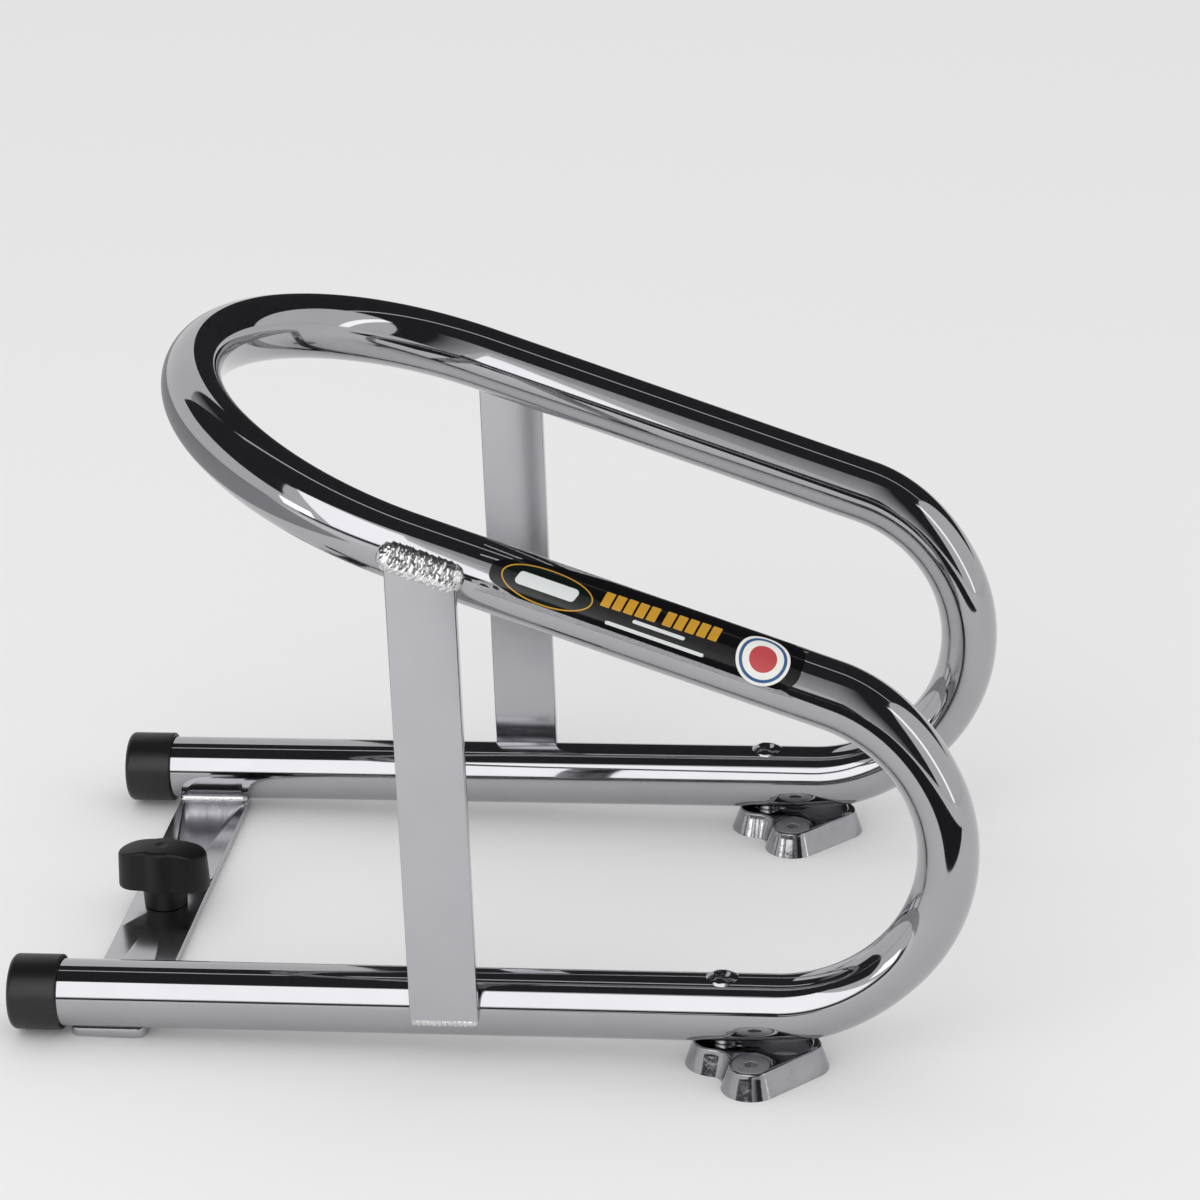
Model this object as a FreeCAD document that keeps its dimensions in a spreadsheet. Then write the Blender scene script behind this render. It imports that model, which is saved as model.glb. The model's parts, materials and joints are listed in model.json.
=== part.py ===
import FreeCAD, Part
import math
import os

import Sketcher
from FreeCAD import Placement, Rotation, Vector

# Wheel chock bent from one steel tube, with its floor brackets, clamp knob and end caps.
# Lengths are in millimetres and angles in degrees.
# Rail frame: x runs along the bottom rails from their open ends to the U-bends, y across, z up,
# with its origin between the open ends of the tube, at the height of the rails' centre lines.

SIZES = [
    ("tube_diameter", 22.2, "outside diameter of the frame tube"),
    ("tube_wall", 1.65, "wall of the frame tube"),
    ("rail_spacing", 178.4, "distance between the centre lines of the two bottom rails"),
    ("rail_length", 249.4, "straight bottom rail, from its open end to the U-bend"),
    ("bend_radius", 56.9, "centre line radius of each U-bend"),
    ("upper_slope", 20.1, "slope of the upper rails against the bottom rails"),
    ("upper_length", 140.4, "straight upper rail, from the U-bend to the hoop"),
    ("bend_flattening", 2.5, "how far the outside of a bend is drawn in at its middle"),
    ("bend_bulge", 0.45, "how far the sides of a bend swell at its middle"),
    ("bar_width", 22.2, "width of the side braces"),
    ("bar_thickness", 3.2, "thickness of the side braces"),
    ("brace_setback", 143.1, "open end of the rail to the middle of the side braces"),
    ("cross_width", 25.0, "width of the crossbar"),
    ("cross_thickness", 3.0, "thickness of the crossbar"),
    ("cross_setback", 28.9, "open end of the rail to the middle of the crossbar"),
    ("cross_overhang", 4.3, "crossbar end beyond the centre line of a rail"),
    ("cross_corner", 3.0, "corner radius of the crossbar"),
    ("cap_grip", 14.3, "depth to which a cap covers the tube"),
    ("cap_end", 2.5, "thickness of a cap's closed end"),
    ("cap_wall", 1.3, "wall of a cap"),
    ("cap_edge", 1.8, "rounding of a cap's outer edge"),
    ("cap_fit", 0.05, "gap between a cap and the tube"),
    ("pin_setback", 17.2, "anchor pin before the start of the U-bend"),
    ("pin_diameter", 7.9, "shank of the anchor pin"),
    ("pin_head_diameter", 12.6, "head of the anchor pin"),
    ("pin_head_height", 2.2, "height of the anchor pin's head"),
    ("pin_fit", 0.1, "gap between the anchor pin and its holes in the tube"),
    ("pin_sink", 0.8, "top of the pin below the crown of the tube"),
    ("bracket_height", 8.5, "height of a floor bracket"),
    ("bracket_lip", 3.2, "thickness of the bracket's top over the pin's head"),
    ("bracket_draft", 2.8, "how much further out the bracket's foot reaches than its top"),
    ("bracket_rim", 0.8, "rounding of the bracket's upper rim"),
    ("nose_radius", 10.5, "foot radius of the bracket's end at the pin"),
    ("nose_offset", 2.3, "centre of that end before the pin"),
    ("heel_radius", 10.0, "foot radius of the bracket's other end"),
    ("heel_offset", 24.2, "centre of the other end behind the pin"),
    ("lobe_radius", 9.7, "foot radius of the lobe round a screw"),
    ("lobe_back", 10.0, "screw centre behind the pin"),
    ("lobe_side", 16.3, "screw centre beside the rail's centre line"),
    ("waist_radius", 4.0, "hollow between the nose and a lobe, at the foot"),
    ("slot_fit", 0.35, "gap between the pin's shank and the slot"),
    ("slide_travel", 19.9, "run of the pin from the slot's end to the wide hole"),
    ("keyhole_radius", 8.8, "radius of the wide hole"),
    ("head_side_fit", 0.45, "gap beside the pin's head in its pocket"),
    ("head_top_fit", 1.0, "gap between the pin's head and the lip"),
    ("stand_gap", 0.3, "gap between the tube and the bracket's top"),
    ("screw_diameter", 6.3, "shank of a floor screw"),
    ("screw_head", 12.6, "head of a floor screw"),
    ("screw_fit", 0.05, "gap round a floor screw"),
    ("screw_lift", 0.3, "end of a screw above the floor"),
    ("socket_width", 4.0, "hexagon socket of a floor screw, across its flats"),
    ("socket_depth", 2.4, "depth of that socket"),
    ("hub_radius", 7.5, "hub of the knob"),
    ("hub_height", 7.6, "hub below the knob's head"),
    ("knob_height", 24.2, "whole height of the knob"),
    ("knob_rim", 13.2, "height of the knob's head at the tips of its lobes"),
    ("lobe_reach", 10.1, "centre of a knob lobe from the axis"),
    ("lobe_tip", 6.9, "tip radius of a knob lobe"),
    ("knob_turn", -18.0, "direction of the first knob lobe"),
    ("knob_edge", 1.6, "rounding of the head's upper edge"),
    ("dimple_radius", 2.2, "hollow in the top of the knob"),
    ("dimple_depth", 0.6, "depth of that hollow"),
    ("knob_gap", 0.1, "gap between the hub and the crossbar"),
    ("stud_diameter", 9.5, "stud of the knob"),
    ("stud_grip", 14.0, "length of the stud inside the knob"),
    ("stud_fit", 0.3, "gap between the stud and its hole in the crossbar"),
    ("stud_lift", 0.4, "end of the stud above the crossbar's underside"),
    ("top_bead_radius", 5.2, "radius of the weld at the top of a brace"),
    ("top_bead_length", 29.0, "length of that weld"),
    ("top_bead_step", 2.65, "spacing of that weld's ripples"),
    ("low_bead_radius", 1.9, "radius of the smaller welds"),
    ("pin_bead_radius", 5.0, "radius of the weld over a pin"),
    ("pin_bead_height", 1.6, "height of that weld over the tube's crown"),
]

doc = FreeCAD.newDocument("wheel_chock")
sheet = doc.addObject("Spreadsheet::Sheet", "Sizes")
for row, (alias, value, meaning) in enumerate(SIZES, start=1):
    sheet.set(f"A{row}", alias)
    sheet.set(f"B{row}", str(value))
    sheet.set(f"C{row}", meaning)
    sheet.setAlias(f"B{row}", alias)
doc.recompute()


def size(alias):
    """A driving dimension, read from the sheet."""
    return float(sheet.get(alias))


# Values that follow from the driving dimensions.
TUBE_R = size("tube_diameter") / 2
BORE_R = TUBE_R - size("tube_wall")
SIDE_Y = size("rail_spacing") / 2
SLOPE = math.radians(size("upper_slope"))
UPPER_DIR = Vector(-math.cos(SLOPE), 0, math.sin(SLOPE))
UPPER_NORMAL = Vector(math.sin(SLOPE), 0, math.cos(SLOPE))
X_AXIS = Vector(1, 0, 0)
Y_AXIS = Vector(0, 1, 0)
Z_AXIS = Vector(0, 0, 1)
SIDES = (("right", -1), ("left", 1))
PIN_X = size("rail_length") - size("pin_setback")

# The middle of a rounded corner lies inside the sharp one by this share of its radius, both ways.
CORNER_MID = 1 - math.sqrt(0.5)

# The bracket's top at its nose and the crossbar's front edge carry the tube, so the rails rise a little.
front_edge_x = size("cross_setback") - size("cross_width") / 2
nose_top_x = PIN_X - size("nose_offset") - size("nose_radius") + size("bracket_draft")
rise = size("bracket_height") + size("stand_gap")
run = math.hypot(nose_top_x - front_edge_x, size("cross_thickness"))
RAKE = math.asin(rise / run) - math.atan2(size("cross_thickness"), nose_top_x - front_edge_x)
rail_height = (TUBE_R + size("cross_thickness")) * math.cos(RAKE) - front_edge_x * math.sin(RAKE)


def rail_place(origin_x=0.0):
    """Placement of the rail frame in the part's own frame, shifted so that origin_x lands on x = 0."""
    return Placement(Vector(-origin_x, 0, rail_height), Rotation(Y_AXIS, -math.degrees(RAKE)))


def origin_plane(body, role):
    """The body's own origin plane of that role."""
    return [feature for feature in body.Origin.OriginFeatures if feature.Role == role][0]


def new_body(label):
    """An empty body whose label names its file."""
    body = doc.addObject("PartDesign::Body", label)
    body.Label = label
    return body


def new_sketch(body, name, role, offset=0.0):
    """A sketch on one of the body's origin planes, moved along that plane's normal."""
    sketch = body.newObject("Sketcher::SketchObject", f"{body.Name}_{name}")
    sketch.AttachmentSupport = [(origin_plane(body, role), "")]
    sketch.MapMode = "FlatFace"
    sketch.AttachmentOffset = Placement(Vector(0, 0, offset), Rotation())
    return sketch


def draw_circle(sketch, alias, factor=1.0, centre=(0.0, 0.0), extra="0 mm"):
    """A circle whose radius is bound to a cell of the sheet, times a factor."""
    radius = size(alias) * factor
    index = sketch.addGeometry(Part.Circle(Vector(*centre, 0), Z_AXIS, radius))
    constraint = sketch.addConstraint(Sketcher.Constraint("Radius", index, radius))
    sketch.setExpression(f"Constraints[{constraint}]", f"Sizes.{alias} * {factor} * 1 mm + {extra}")
    return index


def draw_outline(sketch, corners):
    """A closed outline. Each corner is (x, y) or (x, y, mid_x, mid_y), whose arc runs to the next corner."""
    for number, corner in enumerate(corners):
        following = corners[(number + 1) % len(corners)]
        start = Vector(corner[0], corner[1], 0)
        end = Vector(following[0], following[1], 0)
        if len(corner) == 2:
            sketch.addGeometry(Part.LineSegment(start, end))
        else:
            sketch.addGeometry(Part.Arc(start, Vector(corner[2], corner[3], 0), end))


def add_pad(body, sketch, name, alias, reversed_pad=False, expression=None):
    """A pad whose length is bound to a cell of the sheet."""
    pad = body.newObject("PartDesign::Pad", f"{body.Name}_{name}")
    pad.Profile = sketch
    pad.Length = 1.0
    pad.setExpression("Length", expression or f"Sizes.{alias} * 1 mm")
    pad.Reversed = reversed_pad
    return pad


# The least volume, in cubic millimetres, that a pocket has to take away.
LEAST_CUT = 1e-6


def add_pocket(body, sketch, name, expression, reversed_pocket=False):
    """A pocket of a bound depth. The volume is compared, so a pocket that cuts nothing shows."""
    before = body.Shape.Volume
    pocket = body.newObject("PartDesign::Pocket", f"{body.Name}_{name}")
    pocket.Profile = sketch
    pocket.Length = 1.0
    pocket.setExpression("Length", expression)
    pocket.Reversed = reversed_pocket
    doc.recompute()
    if body.Shape.Volume >= before - LEAST_CUT:
        raise RuntimeError(f"{pocket.Name} cuts nothing")
    return pocket


def add_revolution(body, sketch, name, axis, kind="PartDesign::Revolution"):
    """A full turn of a profile about one of its sketch's axes."""
    turned = body.newObject(kind, f"{body.Name}_{name}")
    turned.Profile = sketch
    turned.ReferenceAxis = (sketch, [axis])
    turned.Angle = 360
    return turned


def new_feature(label, shape, place):
    """A sub-part whose shape is worked out in code."""
    feature = doc.addObject("Part::Feature", label)
    feature.Label = label
    feature.Shape = shape
    feature.Placement = place
    return feature


def rod(start, direction, length, radius):
    """A round rod from a point along a direction."""
    return Part.makeCylinder(radius, length, start, direction)


# Frame tube.
# The tool that bends the tube draws its outside wall in, so a bend's section is an ellipse
# whose centre has moved towards the inside of the bend.

# Places along a bend, as shares of its turn, with the share of the full flattening at each.
BEND_STATIONS = ((0.0, 0.0), (0.2, 0.8), (0.5, 1.0), (0.8, 0.8), (1.0, 0.0))

# The straight runs and the bends meet within this distance and are joined into one tube.
SEAM_TOLERANCE = 0.001

# An ellipse needs one axis longer than the other, so where the tube is round it is wider by this.
ROUND_EXCESS = 1e-6


def bend_section(centre, outward, across, radius, share):
    """The tube's section at one place of a bend, flattened by a share of the full flattening."""
    drawn_in = size("bend_flattening") * share
    bulge = size("bend_bulge") * share
    middle = centre - outward * (drawn_in / 2)
    wide = radius + bulge + ROUND_EXCESS
    deep = radius - drawn_in / 2
    ellipse = Part.Ellipse(middle + across * wide, middle + outward * deep, middle)
    return Part.Wire([ellipse.toShape()])


def bend_solid(hinge, first_out, second_out, radius, turn, tube_radius):
    """A bend about a hinge point, from first_out towards second_out through the angle turn."""
    across = first_out.cross(second_out)

    def outward_at(angle):
        return first_out * math.cos(angle) + second_out * math.sin(angle)

    ends = [hinge + outward_at(angle) * radius for angle in (0.0, turn / 2, turn)]
    spine = Part.Wire([Part.Arc(*ends).toShape()])
    shell = Part.BRepOffsetAPI.MakePipeShell(spine)
    shell.setFrenetMode(True)
    for station, share in BEND_STATIONS:
        outward = outward_at(turn * station)
        shell.add(bend_section(hinge + outward * radius, outward, across, tube_radius, share), False, False)
    shell.build()
    shell.makeSolid()
    return shell.shape()


def tube_solid(tube_radius):
    """The whole bent tube as a solid of one radius: rails, U-bends, upper rails and hoop."""
    radius = size("bend_radius")
    turn = math.pi - SLOPE
    pieces = []
    for _, side in SIDES:
        rail_end = Vector(size("rail_length"), side * SIDE_Y, 0)
        hinge = rail_end + Z_AXIS * radius
        pieces.append(rod(Vector(0, side * SIDE_Y, 0), X_AXIS, size("rail_length"), tube_radius))
        pieces.append(bend_solid(hinge, -Z_AXIS, X_AXIS, radius, turn, tube_radius))
        upper_start = hinge + UPPER_NORMAL * radius
        pieces.append(rod(upper_start, UPPER_DIR, size("upper_length"), tube_radius))
    hoop_centre = Vector(hinge.x, 0, hinge.z) + UPPER_NORMAL * radius + UPPER_DIR * size("upper_length")
    pieces.append(bend_solid(hoop_centre, -Y_AXIS, UPPER_DIR, SIDE_Y, math.pi, tube_radius))
    whole = pieces[0].multiFuse(pieces[1:], SEAM_TOLERANCE)
    return whole.removeSplitter()


def frame_tube_shape():
    """The bent tube with its bore and the drilled holes for the anchor pins."""
    shape = tube_solid(TUBE_R).cut(tube_solid(BORE_R))
    hole_r = size("pin_diameter") / 2 + size("pin_fit")
    for _, side in SIDES:
        start = Vector(PIN_X, side * SIDE_Y, -2 * TUBE_R)
        shape = shape.cut(rod(start, Z_AXIS, 4 * TUBE_R, hole_r))
    return shape


def rail_rod(side):
    """The outside of one bottom rail as a solid rod, for fitting welds to it."""
    return rod(Vector(0, side * SIDE_Y, 0), X_AXIS, size("rail_length"), TUBE_R)


def upper_point(setback):
    """The point of the upper rails' centre line over a place of the bottom rail, in the middle plane."""
    start = Vector(size("rail_length"), 0, size("bend_radius")) + UPPER_NORMAL * size("bend_radius")
    along = (start.x - setback) / math.cos(SLOPE)
    return start + UPPER_DIR * along


# Flat bars.

def make_brace(label, side):
    """A flat bar lapped on the outside of both rails, cut along their centre lines."""
    body = new_body(label)
    half = size("bar_width") / 2
    middle = size("brace_setback")
    face = SIDE_Y + TUBE_R
    offset = face if side < 0 else -(face + size("bar_thickness"))
    sketch = new_sketch(body, "outline", "XZ_Plane", offset)
    corners = [(middle - half, 0.0), (middle + half, 0.0)]
    corners += [(middle + half, upper_point(middle + half).z), (middle - half, upper_point(middle - half).z)]
    draw_outline(sketch, corners)
    add_pad(body, sketch, "bar", "bar_thickness")
    return body


def make_crossbar(label):
    """The flat bar under both rails, with the hole for the knob's stud."""
    body = new_body(label)
    half = size("cross_width") / 2
    end = SIDE_Y + size("cross_overhang")
    corner = size("cross_corner")
    cut = corner * CORNER_MID
    middle = size("cross_setback")
    left, right = middle - half, middle + half
    sketch = new_sketch(body, "outline", "XY_Plane", -TUBE_R)
    draw_outline(sketch, [
        (left, -end + corner, left + cut, -end + cut),
        (left + corner, -end),
        (right - corner, -end, right - cut, -end + cut),
        (right, -end + corner),
        (right, end - corner, right - cut, end - cut),
        (right - corner, end),
        (left + corner, end, left + cut, end - cut),
        (left, end - corner),
    ])
    add_pad(body, sketch, "bar", "cross_thickness", reversed_pad=True)
    doc.recompute()
    hole = new_sketch(body, "hole", "XY_Plane", -TUBE_R)
    draw_circle(hole, "stud_diameter", 0.5, (middle, 0.0), "Sizes.stud_fit * 1 mm")
    add_pocket(body, hole, "stud_hole", "Sizes.cross_thickness * 1 mm")
    return body


# End caps.

def make_cap(label):
    """A rubber cup on the open end of a rail, drawn about x and turned."""
    body = new_body(label)
    inner = TUBE_R + size("cap_fit")
    outer = inner + size("cap_wall")
    back = -size("cap_end")
    mouth = size("cap_grip")
    edge = size("cap_edge")
    cut = edge * CORNER_MID
    sketch = new_sketch(body, "profile", "XZ_Plane")
    draw_outline(sketch, [
        (back, 0.0),
        (back, outer - edge, back + cut, outer - cut),
        (back + edge, outer),
        (mouth, outer),
        (mouth, inner),
        (0.0, inner),
        (0.0, 0.0),
    ])
    add_revolution(body, sketch, "cup", "H_Axis")
    return body


# Anchor pins and their welds.

def make_pin(label):
    """A headed pin, drawn about z with its origin on the rail's centre line."""
    body = new_body(label)
    shank = size("pin_diameter") / 2
    head = size("pin_head_diameter") / 2
    top = TUBE_R - size("pin_sink")
    head_top = -(TUBE_R + size("stand_gap") + size("bracket_lip") + size("head_top_fit"))
    head_low = head_top - size("pin_head_height")
    sketch = new_sketch(body, "profile", "XZ_Plane")
    draw_outline(sketch, [(0.0, head_low), (head, head_low), (head, head_top), (shank, head_top),
                          (shank, top), (0.0, top)])
    add_revolution(body, sketch, "pin", "V_Axis")
    return body


def capsule(start, direction, length, radius):
    """A rod with round ends. Its length is taken over both ends."""
    run_length = length - 2 * radius
    first = start + direction * radius
    bar = rod(first, direction, run_length, radius)
    ends = [Part.makeSphere(radius, first), Part.makeSphere(radius, first + direction * run_length)]
    return bar.multiFuse(ends).removeSplitter()


def pin_weld_shape(side):
    """The round puddle that closes the pin's hole on the crown of the rail."""
    spread = size("pin_bead_radius")
    crown = size("pin_bead_height")
    ball_r = (spread ** 2 + crown ** 2) / (2 * crown)
    centre = Vector(PIN_X, side * SIDE_Y, TUBE_R + crown - ball_r)
    puddle = Part.makeSphere(ball_r, centre)
    keep = rod(Vector(centre.x, centre.y, 0), Z_AXIS, 2 * TUBE_R, spread)
    return puddle.common(keep).cut(rail_rod(side))


def ripple_profile(radius, step, count):
    """Half the section of a row of overlapping puddles: arcs that meet half way between their centres."""
    valley = math.sqrt(radius ** 2 - (step / 2) ** 2)
    first = -step * (count - 1) / 2
    foot = Vector(first - radius, 0, 0)
    start = foot
    edges = []
    for number in range(count):
        centre = first + number * step
        if number < count - 1:
            end = Vector(centre + step / 2, 0, valley)
        else:
            end = Vector(centre + radius, 0, 0)
        edges.append(Part.Arc(start, Vector(centre, 0, radius), end).toShape())
        start = end
    edges.append(Part.LineSegment(start, foot).toShape())
    return Part.Face(Part.Wire(edges))


def brace_top_weld_shape(side):
    """Overlapping ripples along the upper rail, over the top end of a brace, turned about its line."""
    radius = size("top_bead_radius")
    step = size("top_bead_step")
    count = int((size("top_bead_length") - 2 * radius) / step) + 1
    bead = ripple_profile(radius, step, count).revolve(Vector(), X_AXIS, 360)
    middle = upper_point(size("brace_setback")) + Y_AXIS * (side * (SIDE_Y + TUBE_R))
    bead.Placement = Placement(middle, Rotation(X_AXIS, UPPER_DIR))
    upper_rod = rod(upper_point(size("rail_length")) + Y_AXIS * (side * SIDE_Y), UPPER_DIR,
                    size("upper_length") * 2, TUBE_R)
    return bead.cut(upper_rod)


def brace_low_weld_shape(side):
    """The small bead under the lower end of a brace."""
    radius = size("low_bead_radius")
    start = Vector(size("brace_setback") - size("bar_width") / 2,
                   side * (SIDE_Y + TUBE_R + radius / 2), -radius / 2)
    bead = capsule(start, X_AXIS, size("bar_width"), radius)
    below_brace = Part.makeBox(size("bar_width"), 4 * TUBE_R, TUBE_R,
                               Vector(start.x, start.y - 2 * TUBE_R, -TUBE_R))
    return bead.common(below_brace).cut(rail_rod(side))


def crossbar_weld_shape(side):
    """The bead in the corner between the crossbar and the inner side of a rail."""
    radius = size("low_bead_radius")
    height = -TUBE_R + radius / 2
    inset = math.sqrt(TUBE_R ** 2 - height ** 2) + radius / 3
    start = Vector(size("cross_setback") - size("cross_width") / 2, side * (SIDE_Y - inset), height)
    return capsule(start, X_AXIS, size("cross_width"), radius).cut(rail_rod(side))


# Clamp knob and its stud, drawn about z with the origin on the hub's foot.

def make_knob(label):
    """A moulded knob with three lobes, a domed top and a plain hub."""
    body = new_body(label)
    hub = new_sketch(body, "hub_circle", "XY_Plane")
    draw_circle(hub, "hub_radius")
    add_pad(body, hub, "hub", "knob_height")
    doc.recompute()

    lobes = new_sketch(body, "lobes", "XY_Plane", size("hub_height"))
    tip = size("lobe_tip")
    reach = size("lobe_reach")
    valley = tip / math.sin(math.radians(60))
    corners = []
    for k in range(3):
        angle = math.radians(size("knob_turn") + 120 * k)
        out = Vector(math.cos(angle), math.sin(angle), 0)
        left = Vector(-out.y, out.x, 0)
        start = out * reach - left * tip
        crest = out * (reach + tip)
        end = out * reach + left * tip
        next_valley = angle + math.radians(60)
        corners.append((start.x, start.y, crest.x, crest.y))
        corners.append((end.x, end.y))
        corners.append((valley * math.cos(next_valley), valley * math.sin(next_valley)))
    draw_outline(lobes, corners)
    add_pad(body, lobes, "head", "knob_height", expression="(Sizes.knob_height - Sizes.hub_height) * 1 mm")
    doc.recompute()

    crown = new_sketch(body, "crown", "XZ_Plane")
    full = reach + tip
    top = size("knob_height")
    rim = size("hub_height") + size("knob_rim")
    edge = size("knob_edge")
    # Half way out, the dome has fallen by a quarter. The cut reaches well past the knob.
    dome_mid = (full - edge) / 2
    dome_mid_z = top - (top - rim) / 4
    far = full * 2
    above = top * 2
    draw_outline(crown, [
        (0.0, top, dome_mid, dome_mid_z),
        (full - edge, rim, full - edge * CORNER_MID, rim - edge * CORNER_MID),
        (full, rim - edge),
        (far, rim - edge),
        (far, above),
        (0.0, above),
    ])
    add_revolution(body, crown, "dome", "V_Axis", "PartDesign::Groove")
    doc.recompute()

    dimple = new_sketch(body, "dimple", "XZ_Plane")
    hollow = size("dimple_radius")
    depth = size("dimple_depth")
    draw_outline(dimple, [(0.0, top - depth), (hollow, top), (hollow, top + depth), (0.0, top + depth)])
    add_revolution(body, dimple, "top_hollow", "V_Axis", "PartDesign::Groove")
    doc.recompute()

    bore = new_sketch(body, "bore", "XY_Plane")
    draw_circle(bore, "stud_diameter", 0.5)
    add_pocket(body, bore, "stud_bore", "Sizes.stud_grip * 1 mm", reversed_pocket=True)
    return body


def make_stud(label):
    """The stud moulded into the knob. It ends just above the crossbar's underside."""
    stud = doc.addObject("Part::Cylinder", label)
    stud.Label = label
    stud.setExpression("Radius", "Sizes.stud_diameter * 0.5 mm")
    below = "Sizes.knob_gap + Sizes.cross_thickness - Sizes.stud_lift"
    stud.setExpression("Height", f"(Sizes.stud_grip + {below}) * 1 mm")
    return stud


# Floor brackets and their screws, drawn with z = 0 on the floor and the origin on the slot's end.

def circle_tangent(first, first_r, second, second_r, side):
    """The outer tangent points of two circles, on the side given by the sign."""
    gap = second - first
    distance = gap.Length
    along = gap * (1 / distance)
    lean = math.asin((first_r - second_r) / distance)
    normal = Vector(-along.y, along.x, 0) * side
    direction = normal * math.cos(lean) + along * math.sin(lean)
    return first + direction * first_r, second + direction * second_r, direction


def bracket_outline(inset):
    """The bracket's outline seen from above, drawn in by an inset, as corners for draw_outline."""
    nose = Vector(-size("nose_offset"), 0, 0)
    heel = Vector(size("heel_offset"), 0, 0)
    nose_r = size("nose_radius") - inset
    heel_r = size("heel_radius") - inset
    lobe_r = size("lobe_radius") - inset
    waist_r = size("waist_radius") + inset
    halves = []
    for side in (-1, 1):
        lobe = Vector(size("lobe_back"), side * size("lobe_side"), 0)
        lobe_point, heel_point, direction = circle_tangent(lobe, lobe_r, heel, heel_r, side)
        # The waist's circle touches the nose and the lobe from outside.
        near, far = nose_r + waist_r, lobe_r + waist_r
        gap = lobe - nose
        along = (near ** 2 - far ** 2 + gap.Length ** 2) / (2 * gap.Length)
        off = math.sqrt(near ** 2 - along ** 2)
        unit = gap * (1 / gap.Length)
        turned = Vector(-unit.y, unit.x, 0) * side
        waist = nose + unit * along + turned * off
        nose_point = nose + (waist - nose).normalize() * nose_r
        waist_point = lobe + (waist - lobe).normalize() * lobe_r
        waist_mid = waist - (waist - (nose_point + waist_point) * 0.5).normalize() * waist_r
        lobe_mid = lobe + ((waist - lobe).normalize() + direction).normalize() * lobe_r
        if (lobe_mid - lobe).y * side < 0:
            lobe_mid = lobe * 2 - lobe_mid
        halves.append((nose_point, waist_mid, waist_point, lobe_mid, lobe_point, heel_point))
    low, high = halves
    return [
        (low[0].x, low[0].y, low[1].x, low[1].y),
        (low[2].x, low[2].y, low[3].x, low[3].y),
        (low[4].x, low[4].y),
        (low[5].x, low[5].y, heel.x + heel_r, 0.0),
        (high[5].x, high[5].y),
        (high[4].x, high[4].y, high[3].x, high[3].y),
        (high[2].x, high[2].y, high[1].x, high[1].y),
        (high[0].x, high[0].y, nose.x - nose_r, 0.0),
    ]


def slot_outline(radius):
    """A slot along the bracket, from the pin's place to the wide hole."""
    end = size("slide_travel")
    return [(0.0, -radius), (end, -radius, end + radius, 0.0), (end, radius), (0.0, radius, -radius, 0.0)]


# Two places on the bracket count as the same within this distance.
PLACE_TOLERANCE = 0.01


def make_bracket(label):
    """A cast floor bracket with a keyhole, a pocket for the pin's head and two countersunk holes."""
    body = new_body(label)
    height = size("bracket_height")
    foot = new_sketch(body, "foot", "XY_Plane")
    draw_outline(foot, bracket_outline(0.0))
    top = new_sketch(body, "top", "XY_Plane", height)
    draw_outline(top, bracket_outline(size("bracket_draft")))
    block = body.newObject("PartDesign::AdditiveLoft", f"{body.Name}_block")
    block.Profile = foot
    block.Sections = [top]
    block.Ruled = True
    doc.recompute()
    rim_middles = [edge.CenterOfMass for edge in block.Shape.Edges
                   if edge.BoundBox.ZMin > height - PLACE_TOLERANCE]

    slot = new_sketch(body, "slot", "XY_Plane", height)
    draw_outline(slot, slot_outline(size("pin_diameter") / 2 + size("slot_fit")))
    add_pocket(body, slot, "slot_cut", "Sizes.bracket_height * 1 mm")

    pocket = new_sketch(body, "head_room", "XY_Plane")
    draw_outline(pocket, slot_outline(size("pin_head_diameter") / 2 + size("head_side_fit")))
    add_pocket(body, pocket, "head_pocket", "(Sizes.bracket_height - Sizes.bracket_lip) * 1 mm",
               reversed_pocket=True)

    wide = new_sketch(body, "wide", "XY_Plane", height)
    draw_circle(wide, "keyhole_radius", 1.0, (size("slide_travel"), 0.0))
    add_pocket(body, wide, "wide_hole", "Sizes.bracket_height * 1 mm")

    profile = screw_profile(size("screw_fit"), 0.0)
    for number, side in enumerate((-1, 1)):
        countersink = body.newObject("Sketcher::SketchObject", f"{body.Name}_countersink_{number}")
        countersink.AttachmentSupport = [(origin_plane(body, "XZ_Plane"), "")]
        countersink.MapMode = "FlatFace"
        place = Vector(size("lobe_back"), 0, -side * size("lobe_side"))
        countersink.AttachmentOffset = Placement(place, Rotation())
        draw_outline(countersink, profile)
        add_revolution(body, countersink, f"screw_hole_{number}", "V_Axis", "PartDesign::Groove")
        doc.recompute()

    cut_block = body.Tip
    rim = body.newObject("PartDesign::Fillet", f"{body.Name}_rim")
    rim.Base = (cut_block, [f"Edge{number}" for number, edge in enumerate(cut_block.Shape.Edges, start=1)
                            if any(edge.CenterOfMass.distanceToPoint(middle) < PLACE_TOLERANCE
                                   for middle in rim_middles)])
    rim.Radius = 1.0
    rim.setExpression("Radius", "Sizes.bracket_rim * 1 mm")
    doc.recompute()
    return body


def screw_profile(gap, low):
    """Half the section of a countersunk screw, widened by a gap, from a low end to the bracket's top."""
    head = size("screw_head") / 2 + gap
    shank = size("screw_diameter") / 2 + gap
    top = size("bracket_height")
    return [(0.0, low), (shank, low), (shank, top - (head - shank)), (head, top), (0.0, top)]


def make_screw(label):
    """A countersunk socket screw, flush with the bracket's top."""
    body = new_body(label)
    sketch = new_sketch(body, "profile", "XZ_Plane")
    draw_outline(sketch, screw_profile(0.0, size("screw_lift")))
    add_revolution(body, sketch, "turned", "V_Axis")
    doc.recompute()
    socket = new_sketch(body, "socket", "XY_Plane", size("bracket_height"))
    corner_r = size("socket_width") / math.sqrt(3)
    corners = [(corner_r * math.cos(math.radians(60 * k)), corner_r * math.sin(math.radians(60 * k)))
               for k in range(6)]
    draw_outline(socket, corners)
    add_pocket(body, socket, "hexagon", "Sizes.socket_depth * 1 mm")
    return body


# The frame's own pieces, in the rail frame.

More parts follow.
